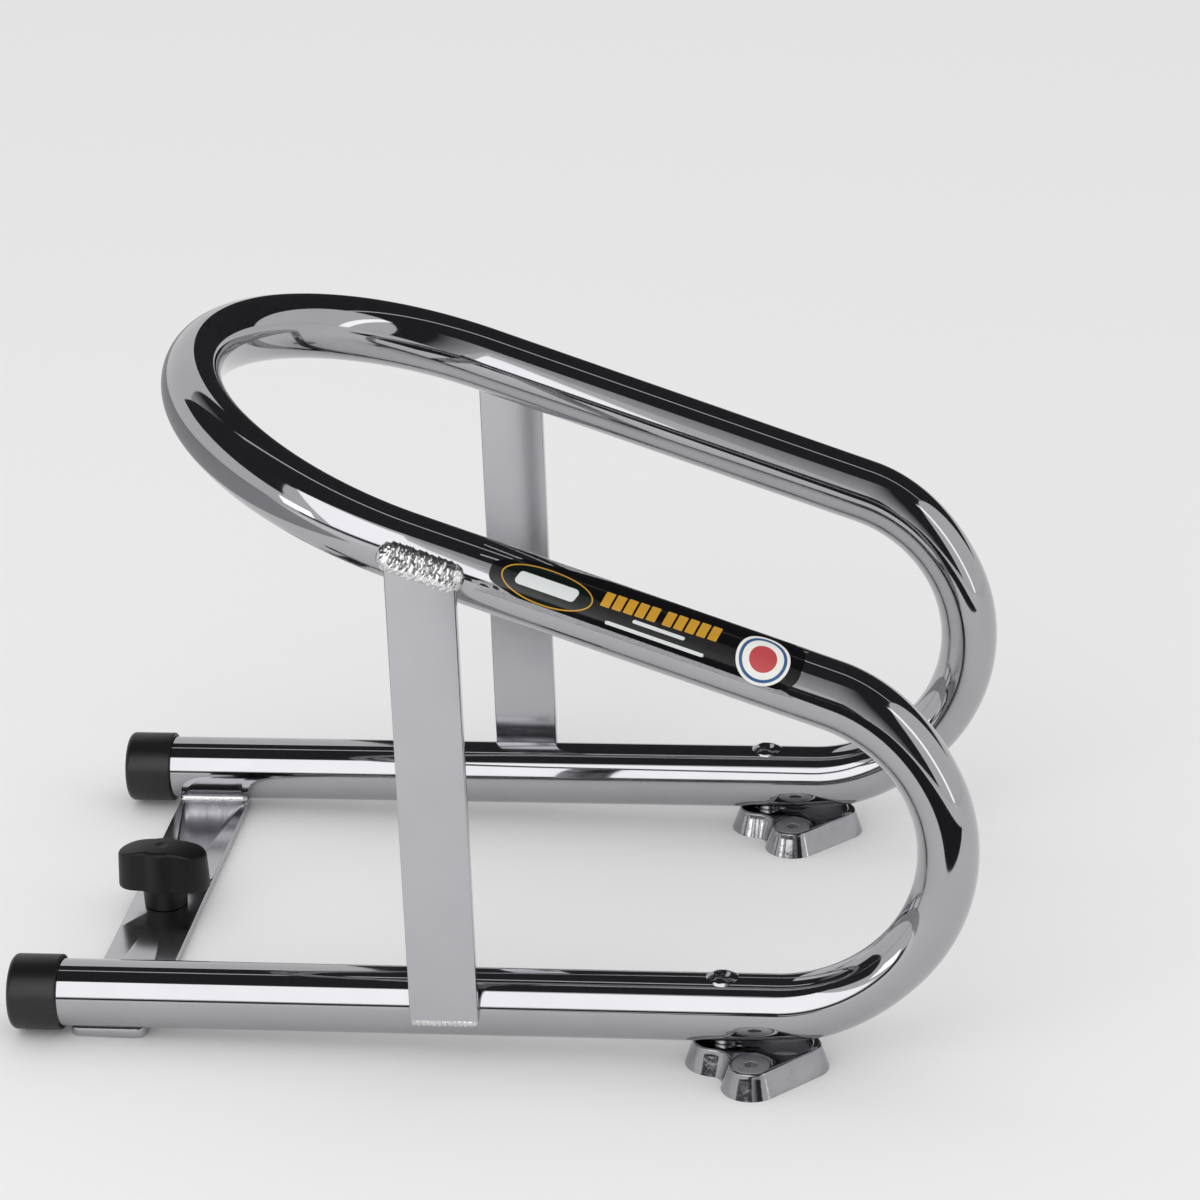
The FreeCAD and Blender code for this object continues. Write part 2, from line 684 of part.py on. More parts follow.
frame_pieces = {}
frame_pieces["frame_tube"] = (new_feature("frame_tube", frame_tube_shape(), Placement()), Placement())
for name, side in SIDES:
    label = f"side_brace_{name}"
    frame_pieces[label] = (make_brace(label, side), Placement())
frame_pieces["crossbar"] = (make_crossbar("crossbar"), Placement())
doc.recompute()
for name, side in SIDES:
    rail = Placement(Vector(0, side * SIDE_Y, 0), Rotation())
    pin = Placement(Vector(PIN_X, side * SIDE_Y, 0), Rotation())
    frame_pieces[f"end_cap_{name}"] = (make_cap(f"end_cap_{name}"), rail)
    frame_pieces[f"anchor_pin_{name}"] = (make_pin(f"anchor_pin_{name}"), pin)
    brace = frame_pieces[f"side_brace_{name}"][0].Shape
    bar = frame_pieces["crossbar"][0].Shape
    welds = {
        f"pin_weld_{name}": pin_weld_shape(side),
        f"brace_top_weld_{name}": brace_top_weld_shape(side).cut(brace),
        f"brace_low_weld_{name}": brace_low_weld_shape(side),
        f"crossbar_weld_{name}": crossbar_weld_shape(side).cut(bar),
    }
    for label, shape in welds.items():
        frame_pieces[label] = (new_feature(label, shape, Placement()), Placement())

bar_top = -TUBE_R
hub_foot = Vector(size("cross_setback"), 0, bar_top + size("knob_gap"))
frame_pieces["clamp_knob"] = (make_knob("clamp_knob"), Placement(hub_foot, Rotation()))
stud_foot = Vector(hub_foot.x, 0, bar_top - size("cross_thickness") + size("stud_lift"))
frame_pieces["knob_stud"] = (make_stud("knob_stud"), Placement(stud_foot, Rotation()))
doc.recompute()

# The origin lies under the middle of the whole chock, so the frame's own length is measured first.
extents = []
for piece, local in frame_pieces.values():
    piece.Placement = rail_place().multiply(local)
    box = piece.Shape.optimalBoundingBox(False)
    extents += [box.XMin, box.XMax]
origin_x = (min(extents) + max(extents)) / 2
for piece, local in frame_pieces.values():
    piece.Placement = rail_place(origin_x).multiply(local)

# The floor pieces stand level. The slot's end lies round the pin at the height of the lip.
lip_level = -(TUBE_R + size("stand_gap") + size("bracket_lip") / 2)
pin_in_lip = rail_place(origin_x).multVec(Vector(PIN_X, 0, lip_level))
floor_pieces = {}
for name, side in SIDES:
    centre = Vector(pin_in_lip.x, side * SIDE_Y, 0)
    label = f"floor_bracket_{name}"
    floor_pieces[label] = make_bracket(label)
    floor_pieces[label].Placement = Placement(centre, Rotation())
    for place, across in (("outer", side), ("inner", -side)):
        label = f"floor_screw_{name}_{place}"
        floor_pieces[label] = make_screw(label)
        screw_centre = centre + Vector(size("lobe_back"), across * size("lobe_side"), 0)
        floor_pieces[label].Placement = Placement(screw_centre, Rotation())
doc.recompute()

# Every object is checked before anything is written.
nodes = {label: piece for label, (piece, _) in frame_pieces.items()}
nodes.update(floor_pieces)
faults = [item.Name for item in doc.Objects if "Invalid" in item.State or "Error" in item.State]
for label, node in nodes.items():
    if node.Shape.isNull() or not node.Shape.isValid():
        faults.append(label)
if faults:
    raise RuntimeError("These objects have failed: " + ", ".join(faults))

os.makedirs("parts", exist_ok=True)
for label, node in nodes.items():
    node.Shape.exportStep(f"parts/{label}.step")
    box = node.Shape.BoundBox
    print(f"{label}: {len(node.Shape.Solids)} solid, {node.Shape.Volume:.0f} mm3, "
          f"x {box.XMin:.1f} to {box.XMax:.1f}, y {box.YMin:.1f} to {box.YMax:.1f}, "
          f"z {box.ZMin:.1f} to {box.ZMax:.1f}")
print(f"rails rise {math.degrees(RAKE):.2f} degrees, origin at {origin_x:.2f} in the rail frame")
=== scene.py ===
import json
import math

import bmesh
import bpy
import numpy as np
from mathutils import Matrix, Vector
from mathutils.geometry import delaunay_2d_cdt


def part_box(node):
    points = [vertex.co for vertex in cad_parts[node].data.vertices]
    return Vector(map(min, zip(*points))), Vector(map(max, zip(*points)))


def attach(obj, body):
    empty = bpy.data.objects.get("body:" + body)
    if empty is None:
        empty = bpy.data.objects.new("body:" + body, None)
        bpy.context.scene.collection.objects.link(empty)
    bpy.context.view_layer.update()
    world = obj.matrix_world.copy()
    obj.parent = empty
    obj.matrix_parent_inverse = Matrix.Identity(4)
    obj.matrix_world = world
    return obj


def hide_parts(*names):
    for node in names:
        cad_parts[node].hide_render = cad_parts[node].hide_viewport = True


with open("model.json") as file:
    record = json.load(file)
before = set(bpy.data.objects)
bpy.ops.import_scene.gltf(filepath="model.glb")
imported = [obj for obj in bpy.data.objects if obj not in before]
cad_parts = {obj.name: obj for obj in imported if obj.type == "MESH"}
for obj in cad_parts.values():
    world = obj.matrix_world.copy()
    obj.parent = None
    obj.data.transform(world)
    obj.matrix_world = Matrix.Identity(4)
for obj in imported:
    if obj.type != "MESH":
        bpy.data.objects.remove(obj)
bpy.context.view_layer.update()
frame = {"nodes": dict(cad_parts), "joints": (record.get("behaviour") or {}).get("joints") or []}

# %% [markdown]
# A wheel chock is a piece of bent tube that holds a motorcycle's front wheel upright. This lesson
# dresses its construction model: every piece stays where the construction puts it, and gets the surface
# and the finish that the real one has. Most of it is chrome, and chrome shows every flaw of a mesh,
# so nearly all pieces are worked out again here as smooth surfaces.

MM = 0.001
NODES = frame["nodes"]

# %% [markdown]
# The tube and everything welded to it stand in a frame that rises a little towards the U-bends, because
# the floor brackets lift that end. The joints of the construction model know this frame: the brackets
# slide along the rails, and the knob turns about the direction that is square to them.

# %% The rails' own frame
JOINTS = {joint["name"]: joint for joint in frame["joints"]}
RAIL_AXES = np.array([JOINTS["bracket_slide_right"]["axis"], [0.0, 1.0, 0.0], JOINTS["knob_turn"]["axis"]])

TUBE_R = 11.1
TUBE_WALL = 1.65
SIDE_Y = 89.2
CROSS_SETBACK = 28.9
KNOB_GAP = 0.1
HUB_FOOT = np.array([CROSS_SETBACK, 0.0, KNOB_GAP - TUBE_R])
RAIL_ORIGIN = np.array(JOINTS["knob_turn"]["pos_m"]) - (HUB_FOOT * MM) @ RAIL_AXES
SIDES = (("right", -1), ("left", 1))


def to_part(points):
    """Millimetres in the rails' frame to metres in the part's frame: the origin plus x, y and z steps."""
    return RAIL_ORIGIN + (np.asarray(points, float) * MM) @ RAIL_AXES


print("rails' origin in the part's frame:", RAIL_ORIGIN.round(5))

# %% [markdown]
# A surface here is a grid of points that numpy works out all at once: one direction of the grid runs
# along the shape and the other round it. The faces only join each point to its neighbours, so one
# function serves every piece. Poles, where a whole row falls on one point, are welded afterwards.

# %% From grids of points to pieces
def grid_faces(rows, columns, wrap=True):
    """Quads of a grid: point (i, j) with its next row and next column. wrap closes the columns in a ring."""
    last = columns if wrap else columns - 1
    i, j = np.meshgrid(np.arange(rows - 1), np.arange(last), indexing="ij")
    right = (j + 1) % columns
    corners = [i * columns + j, i * columns + right, (i + 1) * columns + right, (i + 1) * columns + j]
    return np.stack(corners, axis=-1).reshape(-1, 4)


def join_parts(parts):
    """Several (points, faces) pairs as one, with the faces' numbers moved up by the points before them."""
    points, faces, count = [], [], 0
    for part_points, part_faces in parts:
        points.append(np.asarray(part_points, float).reshape(-1, 3))
        faces += [[corner + count for corner in face] for face in np.asarray(part_faces).tolist()]
        count += len(points[-1])
    return np.concatenate(points), faces


def make_piece(name, parts, material, body, replaces=(), crease=38.0, closed=True):
    """A smooth piece at the origin. Edges that turn by more than the crease angle stay sharp."""
    points, faces = join_parts(parts)
    mesh = bpy.data.meshes.new(name)
    mesh.from_pydata(points.tolist(), [], faces)
    shell = bmesh.new()
    shell.from_mesh(mesh)
    bmesh.ops.remove_doubles(shell, verts=shell.verts, dist=2e-6)
    bmesh.ops.dissolve_degenerate(shell, dist=1e-7, edges=shell.edges)
    if closed:
        bmesh.ops.recalc_face_normals(shell, faces=shell.faces)
    open_edges = sum(1 for edge in shell.edges if not edge.is_manifold)
    shell.to_mesh(mesh)
    shell.free()
    mesh.shade_smooth()
    mesh.set_sharp_from_angle(angle=math.radians(crease))
    mesh.materials.append(material)
    piece = bpy.data.objects.new(name, mesh)
    bpy.context.scene.collection.objects.link(piece)
    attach(piece, body)
    if replaces:
        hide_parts(*replaces)
    print(f"{name}: {len(mesh.polygons)} faces, {open_edges} open edges")
    return piece


# %% [markdown]
# Machined and moulded things have no truly sharp corners, and it is the thin light along a rounded
# corner that tells the eye how large a thing is. A profile is drawn with a few corners, and this
# function rounds each of them with its own radius.

# %% Rounding the corners of a profile
def rounded(corners, closed=False, steps=6):
    """Corners are (x, y, radius). Each becomes an arc that starts and ends one tangent length from it,
    where the tangent length is the radius times the tangent of half the turn."""
    corners = np.asarray(corners, float)
    count = len(corners)
    points = []
    for k, (x, y, radius) in enumerate(corners):
        here = np.array([x, y])
        if radius == 0 or (not closed and k in (0, count - 1)):
            points.append(here[None])
            continue
        back = corners[k - 1, :2] - here
        ahead = corners[(k + 1) % count, :2] - here
        back /= np.linalg.norm(back)
        ahead /= np.linalg.norm(ahead)
        turn = math.pi - math.acos(np.clip(back @ ahead, -1, 1))
        tangent = radius * math.tan(turn / 2)
        middle = back + ahead
        middle /= np.linalg.norm(middle)
        centre = here + middle * math.hypot(radius, tangent)
        first, last = here + back * tangent - centre, here + ahead * tangent - centre
        share = np.linspace(0, 1, steps + 1)[:, None]
        arc = (np.sin((1 - share) * turn) * first + np.sin(share * turn) * last) / math.sin(turn)
        points.append(centre + arc)
    return np.concatenate(points)


def turned(profile, columns, along, radial, across, foot):
    """A profile of (height, radius) turned about an axis through foot: each point goes round the circle
    of its radius, at its height along the axis."""
    angle = np.linspace(0, 2 * math.pi, columns, endpoint=False)
    ring = np.cos(angle)[:, None] * radial + np.sin(angle)[:, None] * across
    points = foot + profile[:, None, 0:1] * along + profile[:, None, 1:2] * ring[None]
    return points.reshape(-1, 3), grid_faces(len(profile), columns)


# %% [markdown]
# Finishes are built from nodes. One small function adds a node with its settings and links, and a
# second one turns the colours, written as they would look on a screen, into the light values that the
# renderer counts with.

# %% Nodes and colours
def linear(code):
    """An sRGB hex colour as linear RGBA: each channel by the two-part curve of the sRGB standard."""
    channels = np.array([int(code[i:i + 2], 16) for i in (1, 3, 5)]) / 255
    curve = np.where(channels <= 0.04045, channels / 12.92, ((channels + 0.055) / 1.055) ** 2.4)
    return (*curve.tolist(), 1.0)


def add_node(tree, kind, inputs=None, **settings):
    """Adds a node, sets its properties, and gives each named input a value or a link."""
    node = tree.nodes.new(kind)
    for name, value in settings.items():
        setattr(node, name, value)
    for name, value in (inputs or {}).items():
        if isinstance(value, bpy.types.NodeSocket):
            tree.links.new(value, node.inputs[name])
        else:
            node.inputs[name].default_value = value
    return node


def new_finish(name):
    """An empty material: its tree, its shader node and the object coordinates that its patterns read."""
    material = bpy.data.materials.new(name)
    material.use_nodes = True
    tree = material.node_tree
    shader = tree.nodes["Principled BSDF"]
    place = add_node(tree, "ShaderNodeTexCoord").outputs["Object"]
    return material, tree, shader, place


def noise(tree, place, grain_mm, detail=3.0, roughness=0.5):
    """A noise whose blotches are about grain_mm across: its scale is blotches per metre."""
    settings = {"Vector": place, "Scale": 1000 / grain_mm, "Detail": detail, "Roughness": roughness}
    return add_node(tree, "ShaderNodeTexNoise", settings).outputs["Fac"]


def between(tree, share, low, high):
    """Maps a share from 0 to 1 on to the range from low to high."""
    return add_node(tree, "ShaderNodeMapRange", {"Value": share, "To Min": low, "To Max": high}).outputs[0]


def blend_colours(tree, share, first, second):
    """A colour between two hex colours by a share."""
    ramp = add_node(tree, "ShaderNodeMix", {"Factor": share}, data_type="RGBA")
    ramp.inputs[6].default_value = linear(first)
    ramp.inputs[7].default_value = linear(second)
    return ramp.outputs[2]


def bump(tree, height, depth_mm, normal=None):
    """Raises the surface by a height from 0 to 1, times a real depth in millimetres."""
    inputs = {"Height": height, "Distance": depth_mm * MM, "Strength": 1.0}
    if normal is not None:
        inputs["Normal"] = normal
    return add_node(tree, "ShaderNodeBump", inputs).outputs[0]


# %% [markdown]
# Bright chromium plate is a thin skin over polished steel. It mirrors the room with a cool grey and
# takes away almost half the light. What makes it real is small: the slow waves that polishing leaves,
# and faint smears that dull the mirror a little here and there.

# %% Chrome plate
def chrome_plate(name, light, dark, sharp, dull, wave_mm, wave_depth_mm, grain_depth_mm=0.0):
    """Electroplated chromium over steel. sharp and dull are the roughness where it is clean and smeared."""
    material, tree, shader, place = new_finish(name)
    smear = noise(tree, place, 26.0, 4.0, 0.6)
    links = tree.links
    links.new(blend_colours(tree, smear, light, dark), shader.inputs["Base Color"])
    links.new(between(tree, smear, sharp, dull), shader.inputs["Roughness"])
    shader.inputs["Metallic"].default_value = 1.0
    normal = bump(tree, noise(tree, place, wave_mm, 2.0), wave_depth_mm)
    if grain_depth_mm:
        normal = bump(tree, noise(tree, place, 0.9, 3.0), grain_depth_mm, normal)
    links.new(normal, shader.inputs["Normal"])
    return material


TUBE_CHROME = chrome_plate("chrome_plate_on_polished_tube", "#B7B6B9", "#ACABAF", 0.03, 0.07, 16.0, 0.010)
BAR_CHROME = chrome_plate("chrome_plate_on_rolled_flat_bar", "#C4C3C7", "#BBBABE", 0.14, 0.22, 22.0, 0.02, 0.003)
WELD_CHROME = chrome_plate("chrome_plate_on_weld_bead", "#EEEEEE", "#E0E0E1", 0.20, 0.32, 1.9, 0.04, 0.010)
PUDDLE_CHROME = chrome_plate("chrome_plate_on_round_puddle", "#B2B2B5", "#A0A0A4", 0.05, 0.12, 1.9, 0.05, 0.008)
print("chrome finishes:", TUBE_CHROME.name, BAR_CHROME.name, WELD_CHROME.name, PUDDLE_CHROME.name)

# %% [markdown]
# The floor brackets are small castings under a dark bright plate. The skin of the mould shows as a
# faint unevenness, and the plate is darker than the tube's.

# %% Plated casting, steel, rubber and plastic
def plated_casting(name):
    """Dark bright nickel plate on a die casting, with the mould's faint unevenness."""
    material, tree, shader, place = new_finish(name)
    cloud = noise(tree, place, 7.0, 4.0, 0.6)
    tree.links.new(blend_colours(tree, cloud, "#B4B3B7", "#98979B"), shader.inputs["Base Color"])
    tree.links.new(between(tree, cloud, 0.05, 0.14), shader.inputs["Roughness"])
    shader.inputs["Metallic"].default_value = 1.0
    skin = bump(tree, noise(tree, place, 3.5, 3.0), 0.04)
    tree.links.new(bump(tree, noise(tree, place, 0.7, 2.0), 0.008, skin), shader.inputs["Normal"])
    return material


def bare_steel(name, light, dark, sharp, dull, grain_mm, depth_mm):
    """Zinc-plated or turned steel: grey metal with a fine grain that spreads its highlights."""
    material, tree, shader, place = new_finish(name)
    cloud = noise(tree, place, 2.2, 5.0, 0.65)
    tree.links.new(blend_colours(tree, cloud, light, dark), shader.inputs["Base Color"])
    tree.links.new(between(tree, cloud, sharp, dull), shader.inputs["Roughness"])
    shader.inputs["Metallic"].default_value = 1.0
    tree.links.new(bump(tree, noise(tree, place, grain_mm, 3.0), depth_mm), shader.inputs["Normal"])
    return material


def black_moulding(name, light, dark, sharp, dull, grain_mm, depth_mm, ior):
    """Moulded rubber or plastic: near black, satin, with the fine spark-eroded grain of its mould."""
    material, tree, shader, place = new_finish(name)
    cloud = noise(tree, place, 9.0, 4.0, 0.6)
    tree.links.new(blend_colours(tree, cloud, light, dark), shader.inputs["Base Color"])
    tree.links.new(between(tree, cloud, sharp, dull), shader.inputs["Roughness"])
    shader.inputs["IOR"].default_value = ior
    tree.links.new(bump(tree, noise(tree, place, grain_mm, 4.0), depth_mm), shader.inputs["Normal"])
    return material


CASTING = plated_casting("dark_bright_plate_on_casting")
ZINC = bare_steel("dull_zinc_on_socket_screws", "#E2E2E4", "#A6A6A9", 0.42, 0.56, 0.8, 0.03)
PIN_STEEL = bare_steel("bright_turned_steel", "#D2D2D4", "#B8B8BB", 0.12, 0.22, 0.5, 0.006)
RUBBER = black_moulding("satin_moulded_rubber", "#131315", "#0E0E10", 0.34, 0.46, 0.8, 0.012, 1.5)
KNOB_PLASTIC = black_moulding("satin_moulded_nylon", "#0D0D0E", "#090909", 0.42, 0.52, 0.6, 0.012, 1.42)
print("materials:", len(bpy.data.materials))

# %% [markdown]
# The frame is one length of tube, bent seven times round a former. A draw bender pulls the outer wall
# inwards, so the round section becomes a slightly flat ellipse in the middle of each bend. The tube is
# a ring of points carried along its centre line, with that ellipse worked out at every station.

# %% The centre line of the tube
RAIL_LENGTH = 249.4
BEND_R = 56.9
SLOPE = math.radians(20.1)
UPPER_LENGTH = 140.4
UPPER_DIR = np.array([-math.cos(SLOPE), 0.0, math.sin(SLOPE)])
UPPER_NORMAL = np.array([math.sin(SLOPE), 0.0, math.cos(SLOPE)])
X, Y, Z = np.eye(3)


def straight(start, direction, length, first, second, step=7.0):
    """Stations along a straight run: centres and the two fixed directions that the ring is drawn with."""
    count = int(length / step)
    centres = start + np.linspace(0, length, count, endpoint=False)[:, None] * direction
    same = np.ones((count, 1))
    return centres, same * first, same * second, same * second, np.zeros(count)


def bend(hinge, start_out, end_out, radius, turn, keep, keep_first, step=1.4):
    """Stations round a bend: the outward direction turns from start_out towards end_out by the angle.
    keep is the direction square to the bend's plane; keep_first tells which of the ring's two it is."""
    count = int(math.degrees(turn) / step)
    share = np.linspace(0, 1, count, endpoint=False)
    angle = (share * turn)[:, None]
    outward = np.cos(angle) * start_out + np.sin(angle) * end_out
    fixed = np.ones((count, 1)) * keep
    rise = np.clip(np.minimum(share, 1 - share) / 0.28, 0, 1)
    flattened = rise * rise * (3 - 2 * rise)
    first, second = (fixed, outward) if keep_first else (-outward, fixed)
    return hinge + radius * outward, first, second, outward, flattened


def centre_line():
    """Right rail, right bend, right upper rail, hoop, and the same back on the left."""
    right = np.array([0.0, -SIDE_Y, 0.0])
    left = -right
    turn = math.pi - SLOPE
    hinge = RAIL_LENGTH * X + BEND_R * Z
    upper = hinge + BEND_R * UPPER_NORMAL
    crown = upper + UPPER_LENGTH * UPPER_DIR
    runs = [
        straight(right, X, RAIL_LENGTH, Y, -Z),
        bend(hinge + right, -Z, X, BEND_R, turn, Y, True),
        straight(upper + right, UPPER_DIR, UPPER_LENGTH, Y, UPPER_NORMAL),
        bend(crown, -Y, UPPER_DIR, SIDE_Y, math.pi, UPPER_NORMAL, False, 1.3),
        straight(crown + left, -UPPER_DIR, UPPER_LENGTH, -Y, UPPER_NORMAL),
        bend(hinge + left, UPPER_NORMAL, -UPPER_DIR, BEND_R, turn, -Y, True),
        straight(RAIL_LENGTH * X + left, -X, RAIL_LENGTH, -Y, -Z),
        (left[None], -Y[None], -Z[None], -Z[None], np.zeros(1)),
    ]
    return [np.concatenate(column) for column in zip(*runs)]


# %% The bent tube
DRAWN_IN = 2.5
BULGE = 0.45


def tube_skin(radius, columns):
    """A ring at each station: the unit circle, stretched to an ellipse along and across the bend, with
    its centre moved towards the inside by half of what the outer wall is drawn in."""
    centres, first, second, outward, flattened = centre_line()
    angle = np.linspace(0, 2 * math.pi, columns, endpoint=False)
    ring = np.cos(angle)[None, :, None] * first[:, None] + np.sin(angle)[None, :, None] * second[:, None]
    drawn = (DRAWN_IN * flattened)[:, None, None]
    swell = (BULGE * flattened)[:, None, None]
    out = outward[:, None]
    along_out = (ring * out).sum(-1, keepdims=True)
    sideways = ring - along_out * out
    points = centres[:, None] - out * drawn / 2
    points = points + out * along_out * (radius - drawn / 2) + sideways * (radius + swell)
    return points


OUTER_COLUMNS = 96
skin = tube_skin(TUBE_R, OUTER_COLUMNS)
bore = tube_skin(TUBE_R - TUBE_WALL, OUTER_COLUMNS)[:, ::2]
bore = np.repeat(bore, 2, axis=1)[::-1]
shell_rows = np.concatenate([skin, bore, skin[:1]])
tube = make_piece("frame_tube_skin", [(to_part(shell_rows), grid_faces(len(shell_rows), OUTER_COLUMNS))],
                  TUBE_CHROME, "frame", ["frame_tube"])

# %% [markdown]
# The braces and the crossbar are cold-rolled flat bar. Its long edges are slightly round, and it was
# not polished as far as the tube, so its mirror is soft and even.

# %% Side braces
BAR_THICKNESS = 3.2
BAR_WIDTH = 22.2
BRACE_SETBACK = 143.1


def upper_height(x):
    """Height of the upper rails' centre line over a place of the bottom rail."""
    start = RAIL_LENGTH * X + BEND_R * Z + BEND_R * UPPER_NORMAL
    return start[2] + (start[0] - x) * math.tan(SLOPE)


def brace(side):
    """The bar's rounded section carried up from the rail's centre line to the upper rail's centre line."""
    half, edge = BAR_WIDTH / 2, 0.45
    near, far = SIDE_Y + TUBE_R, SIDE_Y + TUBE_R + BAR_THICKNESS
    section = rounded([(-half, near, edge), (half, near, edge), (half, far, edge), (-half, far, edge)], True, 4)
    x = BRACE_SETBACK + section[:, 0]
    rows = np.stack([np.stack([x, side * section[:, 1], share * upper_height(x)], -1)
                     for share in (0, 0.002, 0.25, 0.5, 0.75, 0.998, 1)])
    ends = rows[[0, -1]].mean(axis=1, keepdims=True) * np.ones((1, len(section), 1))
    rows = np.concatenate([ends[:1], rows, ends[1:]])
    return to_part(rows), grid_faces(len(rows), len(section))


for name, side in SIDES:
    make_piece(f"brace_bar_{name}", [brace(side)], BAR_CHROME, "frame", [f"side_brace_{name}"])

# %% Crossbar
CROSS_WIDTH = 25.0
CROSS_THICKNESS = 3.0
CROSS_OVERHANG = 4.3
STUD_HOLE_R = 5.05


def crossbar():
    """A plate round a hole: every column of the grid runs from the hole's edge to the outline, over the
    rounded rim and back below. The bar is long, so the columns are spaced evenly along its outline."""
    half, end = CROSS_WIDTH / 2, SIDE_Y + CROSS_OVERHANG
    outline = rounded([(-half, -end, 3), (half, -end, 3), (half, end, 3), (-half, end, 3)], True, 10)
    outline = np.concatenate([outline, outline[:1]])
    length = np.concatenate([[0], np.cumsum(np.linalg.norm(np.diff(outline, axis=0), axis=1))])
    evenly = np.linspace(0, length[-1], 400, endpoint=False)
    edge = np.stack([np.interp(evenly, length, outline[:, k]) for k in (0, 1)], -1)
    angle = np.arctan2(edge[:, 1], edge[:, 0])
    hole = STUD_HOLE_R * np.stack([np.cos(angle), np.sin(angle)], -1)
    inward = -edge / np.linalg.norm(edge, axis=1, keepdims=True)
    rim = 0.4
    top, low = -TUBE_R, -TUBE_R - CROSS_THICKNESS
    rows = [(hole, low), (hole, top), (edge + inward * rim, top), (edge + inward * rim * 0.3, top - rim * 0.3),
            (edge, top - rim), (edge, low + rim), (edge + inward * rim * 0.3, low + rim * 0.3),
            (edge + inward * rim, low), (hole, low)]
    points = np.stack([np.column_stack([flat + [CROSS_SETBACK, 0], np.full(len(flat), height)])
                       for flat, height in rows])
    return to_part(points), grid_faces(len(rows), len(edge))


make_piece("crossbar_bar", [crossbar()], BAR_CHROME, "frame", ["crossbar"])

# %% [markdown]
# The caps are dipped or moulded rubber cups, pushed over the tube's open ends. They are turned shapes:
# a profile of height and radius, carried round the rail's axis. The closed end is a little domed.

# %% End caps
CAP_GRIP, CAP_END, CAP_WALL, CAP_FIT = 14.3, 2.5, 1.3, 0.05


def end_cap(side):
    """The cup's profile, drawn from the middle of its closed end over the outside into the cup."""
    inner = TUBE_R + CAP_FIT
    outer = inner + CAP_WALL
    profile = rounded([(-CAP_END, 0, 0), (-CAP_END, outer * 0.6, 20), (-CAP_END + 0.25, outer, 2.0),
                       (CAP_GRIP, outer + 0.0, 0.5), (CAP_GRIP, inner, 0.2), (0, inner, 0.3), (0, 0, 0)], steps=8)
    foot = np.array([0.0, side * SIDE_Y, 0.0])
    points, faces = turned(profile, 96, X, Y, Z, foot)
    return to_part(points), faces


for name, side in SIDES:
    make_piece(f"rubber_cap_{name}", [end_cap(side)], RUBBER, "frame", [f"end_cap_{name}"])

# %% [markdown]
# A weld bead is a row of frozen puddles, each one overlapping the last like fallen coins. The bead is a
# round bar whose radius rises and falls with those puddles; their edges are crescents, so the wave is
# shifted with the angle round the bead. A little unevenness keeps it from looking machined.

# %% Weld beads
FACE_SHARE = 0.82


def unevenness(points, size_mm, seed):
    """Smooth pseudo-random numbers from -1 to 1: the mean of twelve sine waves of about that size, whose
    directions and phases come from a seeded generator."""
    source = np.random.default_rng(seed)
    waves = source.normal(size=(12, 3))
    waves *= (2 * math.pi / size_mm) / np.linalg.norm(waves, axis=1, keepdims=True)
    phase = source.uniform(0, 2 * math.pi, 12)
    return np.sin(np.asarray(points) @ waves.T + phase).mean(-1) * 1.8


def bead(middle, along, across, up, length, radius, ripple, rough, step, seed, rows=220, columns=72, face=None):
    """A round bar with domed ends. Its radius is the envelope plus the ripple, a saw-like wave along the
    bead that is delayed by the square of the sideways position, plus unevenness. face is the angle of a
    flatter side: there the radius is the soft minimum of the bar's and a plane's at FACE_SHARE of it."""
    share = np.linspace(-1, 1, rows)
    angle = np.linspace(0, 2 * math.pi, columns, endpoint=False)
    place = share * length / 2
    envelope = np.sqrt(np.clip(1 - np.clip((np.abs(place) - length / 2 + radius) / radius, 0, 1) ** 2, 0, 1))
    t, a = np.meshgrid(place, angle, indexing="ij")
    phase = (t + 0.45 * radius * np.cos(a) ** 2 + 0.4 * radius * np.sin(a)) / step
    wave = (phase % 1.0) ** 2
    radii = np.full(columns, float(radius))
    if face is not None:
        plane = FACE_SHARE * radius / np.maximum(np.cos(angle - face), 0.1)
        radii = (radii ** -14 + plane ** -14) ** (-1 / 14)
    r = radii * envelope[:, None]
    points = middle + t[..., None] * along + (r * np.sin(a))[..., None] * up + (r * np.cos(a))[..., None] * across
    lift = ripple * (wave - 0.5) + rough * unevenness(points, 2.4, seed) + rough * 0.5 * unevenness(points, 1.1, seed + 1)
    lift *= np.sqrt(envelope)[:, None]
    spokes = (np.sin(a))[..., None] * up + (np.cos(a))[..., None] * across
    return to_part(points + lift[..., None] * spokes), grid_faces(rows, columns)


for name, side in SIDES:
    top_middle = np.array([BRACE_SETBACK, side * (SIDE_Y + TUBE_R), upper_height(BRACE_SETBACK)])
    make_piece(f"brace_top_bead_{name}",
               [bead(top_middle, UPPER_DIR, Y, UPPER_NORMAL, 28.6, 5.05, 0.40, 0.26, 2.1, 4,
                     face=math.radians(90 - 60 * side))],
               WELD_CHROME, "frame", [f"brace_top_weld_{name}"], crease=70)
    low_middle = np.array([BRACE_SETBACK, side * (SIDE_Y + TUBE_R + 0.95), -0.95])
    make_piece(f"brace_low_bead_{name}",
               [bead(low_middle, X, Y, Z, BAR_WIDTH, 1.8, 0.42, 0.2, 1.7, 9, 160, 40)],
               WELD_CHROME, "frame", [f"brace_low_weld_{name}"], crease=70)
    corner_height = -TUBE_R + 0.95
    corner_y = SIDE_Y - math.sqrt(TUBE_R ** 2 - corner_height ** 2) - 0.63
    cross_middle = np.array([CROSS_SETBACK, side * corner_y, corner_height])
    make_piece(f"crossbar_bead_{name}",
               [bead(cross_middle, X, Y, Z, CROSS_WIDTH, 1.75, 0.07, 0.05, 1.5, 15, 160, 40)],
               WELD_CHROME, "frame", [f"crossbar_weld_{name}"], crease=70)

